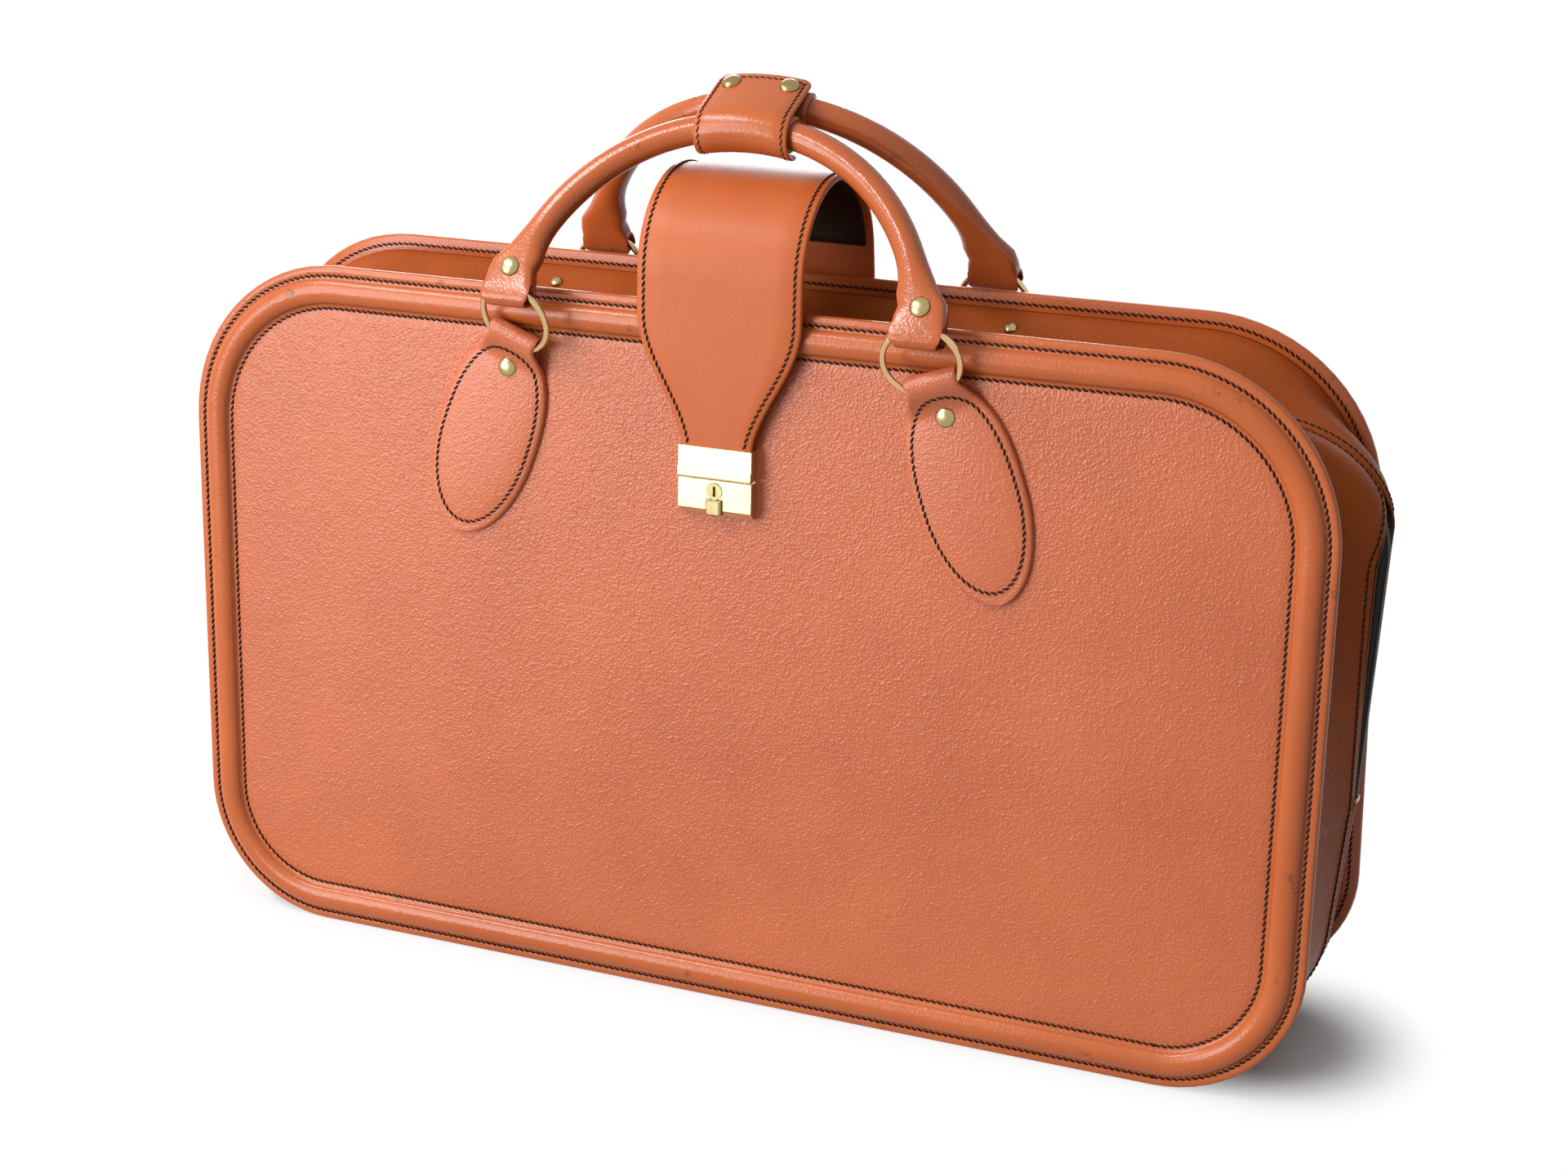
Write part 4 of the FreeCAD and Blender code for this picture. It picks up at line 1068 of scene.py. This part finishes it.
CROWN = Vector((0, -0.0102, 0.4796944))
ALONG, UPWARD = Vector((0, 0.9194971, 0.3930968)), Vector((0, -0.3930968, 0.9194971))
HANDLE_UP = FRONT_HANDLE(0, 0, 1) - FRONT_HANDLE(0, 0, 0)
WRAP_RADIUS, WRAP_TURN, WRAP_STEPS = 0.0121, 165, 16
WRAP_HALF, WRAP_SKIN, WRAP_BOW = 0.0265, 0.0011, 0.127
SPAN = 0.022186
# Flap behind the front handle: reach, how much narrower it is on each side
FLAP = ((0.004, 0), (0.008, 0), (0.012, 0), (0.016, 0), (SPAN, 0), (SPAN + 0.0045, 0),
        (SPAN + 0.0060, 0.0004), (SPAN + 0.0072, 0.0012), (SPAN + 0.0080, 0.0028))
WRAP_SEAM, WRAP_THREAD, ROUND_ROWS, REAR_STEPS = 0.0235, 0.00036, 3, 8
SNAP_X, SNAP_UP = 0.0165, 0.0010


def bowed(way):
    """How far the wrap's sides drop, as they follow the arch of the handles."""
    return lambda x: -way * x * x / (2 * WRAP_BOW)


path, bows = [], []
for k in range(WRAP_STEPS + 1):
    t = radians(WRAP_TURN - WRAP_TURN * k / WRAP_STEPS)
    path.append(CROWN + UPWARD * WRAP_RADIUS * cos(t) - ALONG * WRAP_RADIUS * sin(t))
    bows.append((UPWARD * k + HANDLE_UP * (WRAP_STEPS - k)).normalized())
halves = [WRAP_HALF] * len(path)
for reach, trim in FLAP:
    path.append(CROWN + UPWARD * WRAP_RADIUS + ALONG * reach)
    bows.append(UPWARD)
    halves.append(WRAP_HALF - trim)
ups = normals(path)
rows = [section(p, n, w, WRAP_SKIN, -WRAP_SKIN, bowed(way)) for p, n, w, way in zip(path, ups, halves, bows)]
wrap = mesh("wrap_leather", *loft(rows), TRIM_HIDE, None, ("wrap_flap",), "tan_leather")
wrap.data.materials.append(DARK_HIDE)
for poly in wrap.data.polygons:
    if poly.index % len(rows[0]) in UNDERSIDE and len(poly.vertices) == 4:
        poly.material_index = 1
lines = []
for sign in (-1, 1):
    edge = []
    for p, n, way in zip(path, ups, bows):
        edge.append(p + X_AXIS * sign * WRAP_SEAM + n * WRAP_SKIN + bowed(way)(WRAP_SEAM))
    lines.append((edge[:-ROUND_ROWS], ups))
last, last_up = path[-ROUND_ROWS - 1], ups[-ROUND_ROWS - 1]
rear = []
for k in range(-REAR_STEPS, REAR_STEPS + 1):
    drop = bowed(UPWARD)(WRAP_SEAM * k / REAR_STEPS)
    rear.append(last + last_up * WRAP_SKIN + X_AXIS * WRAP_SEAM * k / REAR_STEPS + drop)
lines.append((rear, last_up))
wrap_seam = sew("wrap", lines, thick=WRAP_THREAD)
flat_band(path, halves)
for obj in (wrap, wrap_seam):
    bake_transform(obj)
snaps = []
for sign in (-1, 1):
    top = CROWN + UPWARD * (WRAP_RADIUS + SNAP_UP) + ALONG * SPAN
    spot = top + X_AXIS * sign * SNAP_X + bowed(UPWARD)(SNAP_X)
    snaps.append((spot, (UPWARD + X_AXIS * sign * SNAP_X / WRAP_BOW).normalized()))
domes("wrap_domes", snaps, "wrap_flap", ("wrap_snap_caps",), mat=BRONZE)


# Two domes on the back slope of the gusset


GUSSET_DOME_X, GUSSET_DOME_SHARE, SLOPE_STEP = 0.134, 0.40, 0.01
middle = top_station(0)
(y, h), (next_y, next_h) = over(middle, GUSSET_DOME_SHARE), over(middle, GUSSET_DOME_SHARE + SLOPE_STEP)
slope = Vector((0, next_y - y, next_h - h)).normalized()
spots = []
for sign in (-1, 1):
    spot = Vector((sign * GUSSET_DOME_X, -y, middle["base"].z + h))
    spots.append((spot, Vector((0, slope.z, slope.y))))
domes("gusset_domes", spots, "case_back", ("gusset_studs",), radius=0.0036, height=0.0024)


# Finishes of the CAD pieces that stay


FINISH = {"hasp_clip": PALE_BRASS, "lock_body": PALE_BRASS, "front_rings": GOLD, "rear_rings": GOLD}
BEVELLED = ("hasp_clip", "lock_body", "lock_button", "lock_back_plate", "zip_slider", "zip_pull",
            "zip_end_stops")
for name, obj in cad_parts.items():
    for slot in obj.material_slots:
        slot.material = FINISH.get(name, BRASS)
    if name in BEVELLED:
        bevel = obj.modifiers.new("edge", "BEVEL")
        bevel.width = 0.0005
        bevel.segments = 2
        bevel.limit_method = "ANGLE"


# Floor, light and camera


FLOOR_SIZE, FLOOR_Z = 16, -0.0002
# The floor's shadow: half length of the line that it is measured from, where it starts to fade and ends
SHADOW_HALF, SHADOW_FADE, SHADOW_END = 0.30, 0.03, 0.095
SKY_WAY, SKY_DARK = (-0.62, -0.42, 0.66), -0.35
WHITE = (1, 1, 1, 1)
# Camera fitted to the photo
EYE = Vector((0.57563, -1.32215, 0.75728))
AZIMUTH, RISE, TILT = radians(23.0165), radians(20.4229), radians(-0.3445)
FOCAL, SENSOR = 63.536, 36.0


def vector_step(tree, kind, vector, other=(0, 0, 0)):
    """One step of vector arithmetic."""
    made = node(tree, "VectorMath")
    made.operation = kind
    made.inputs[1].default_value = other
    tree.links.new(vector, made.inputs[0])
    return made


def backdrop_rays(tree):
    """Picks the rays that show the white background: the camera's own, and those mirrored or let through."""
    rays = node(tree, "LightPath").outputs
    found = rays["Is Camera Ray"]
    for kind in ("Is Glossy Ray", "Is Transmission Ray"):
        found = arithmetic(tree, "MAXIMUM", found, rays[kind])
    return found


def floor_white():
    """White with its shadow near the case, clear white further out, and plain and pale to the light."""
    mat, tree, shader = new_material("floor_white")
    tree.nodes.remove(shader)
    place = node(tree, "TexCoord")
    reach = vector_step(tree, "ABSOLUTE", place.outputs["Object"])
    reach = vector_step(tree, "SUBTRACT", reach.outputs["Vector"], (SHADOW_HALF, 0, 0))
    reach = vector_step(tree, "MAXIMUM", reach.outputs["Vector"])
    away = vector_step(tree, "LENGTH", reach.outputs["Vector"])
    fade = node(tree, "MapRange", Value=away.outputs["Value"], From_Min=SHADOW_FADE, From_Max=SHADOW_END)
    fade.interpolation_type = "SMOOTHSTEP"
    lit = node(tree, "BsdfDiffuse", Color=(0.79, 0.79, 0.79, 1))
    clear = node(tree, "Emission", Color=WHITE, Strength=1.0)
    pale = node(tree, "BsdfDiffuse", Color=(0.27, 0.26, 0.25, 1))
    seen = mixed(tree, fade.outputs["Result"], lit.outputs["BSDF"], clear.outputs["Emission"])
    surface = mixed(tree, backdrop_rays(tree), pale.outputs["BSDF"], seen)
    fill(tree, tree.nodes["Material Output"], Surface=surface)
    return mat


def studio_world():
    """Sky that is white to the camera and lights the case mostly from the upper left in front."""
    world = bpy.data.worlds.new("studio")
    scene.world = world
    world.use_nodes = True
    tree = world.node_tree
    place = node(tree, "TexCoord")
    facing = vector_step(tree, "DOT_PRODUCT", place.outputs["Generated"], SKY_WAY)
    sky = tree.nodes["Background"]
    fill(tree, sky, Color=WHITE, Strength=spread(tree, facing.outputs["Value"], SKY_DARK, 1.0))
    white = node(tree, "Background", Color=WHITE, Strength=1.0)
    surface = mixed(tree, backdrop_rays(tree), sky.outputs["Background"], white.outputs["Background"])
    fill(tree, tree.nodes["World Output"], Surface=surface)


def softbox(name, place, target, size, power, tone=(1, 1, 1)):
    data = bpy.data.lights.new(name, "AREA")
    data.shape = "RECTANGLE"
    data.size, data.size_y = size
    data.energy, data.color = power, tone
    obj = bpy.data.objects.new(name, data)
    scene.collection.objects.link(obj)
    obj.location = place
    obj.rotation_euler = (Vector(target) - Vector(place)).to_track_quat("-Z", "Y").to_euler()


def photo_camera():
    to_eye = Vector((sin(AZIMUTH) * cos(RISE), -cos(AZIMUTH) * cos(RISE), sin(RISE)))
    level = Vector((cos(AZIMUTH), sin(AZIMUTH), 0))
    upright = to_eye.cross(level)
    right = cos(TILT) * level + sin(TILT) * upright
    up = -sin(TILT) * level + cos(TILT) * upright
    lens = bpy.data.cameras.new("camera")
    lens.lens, lens.sensor_width, lens.sensor_fit = FOCAL, SENSOR, "HORIZONTAL"
    camera = bpy.data.objects.new("camera", lens)
    scene.collection.objects.link(camera)
    turn = Matrix((right, up, to_eye)).transposed().to_4x4()
    turn.translation = EYE
    camera.matrix_world = turn
    scene.camera = camera


bpy.ops.mesh.primitive_plane_add(size=FLOOR_SIZE, location=(0, 0, FLOOR_Z))
floor = bpy.context.object
floor.name = "floor"
floor.data.materials.append(floor_white())
studio_world()
softbox("key", (-1.75, -2.4, 1.25), target=(0, 0, 0.25), size=(1.5, 1.2), power=45)
softbox("low", (-1.45, -2.3, 0.27), target=(0, 0, 0.3), size=(1.3, 0.5), power=27, tone=(0.86, 0.94, 1.0))
softbox("streak", (-0.9, -0.8, 1.6), target=(0, 0, 0.35), size=(1.0, 0.2), power=18)
softbox("rear", (-1.2, 2.4, 1.0), target=(0, 0, 0.25), size=(1.4, 1.0), power=24)
scene.view_settings.view_transform = "Standard"
photo_camera()
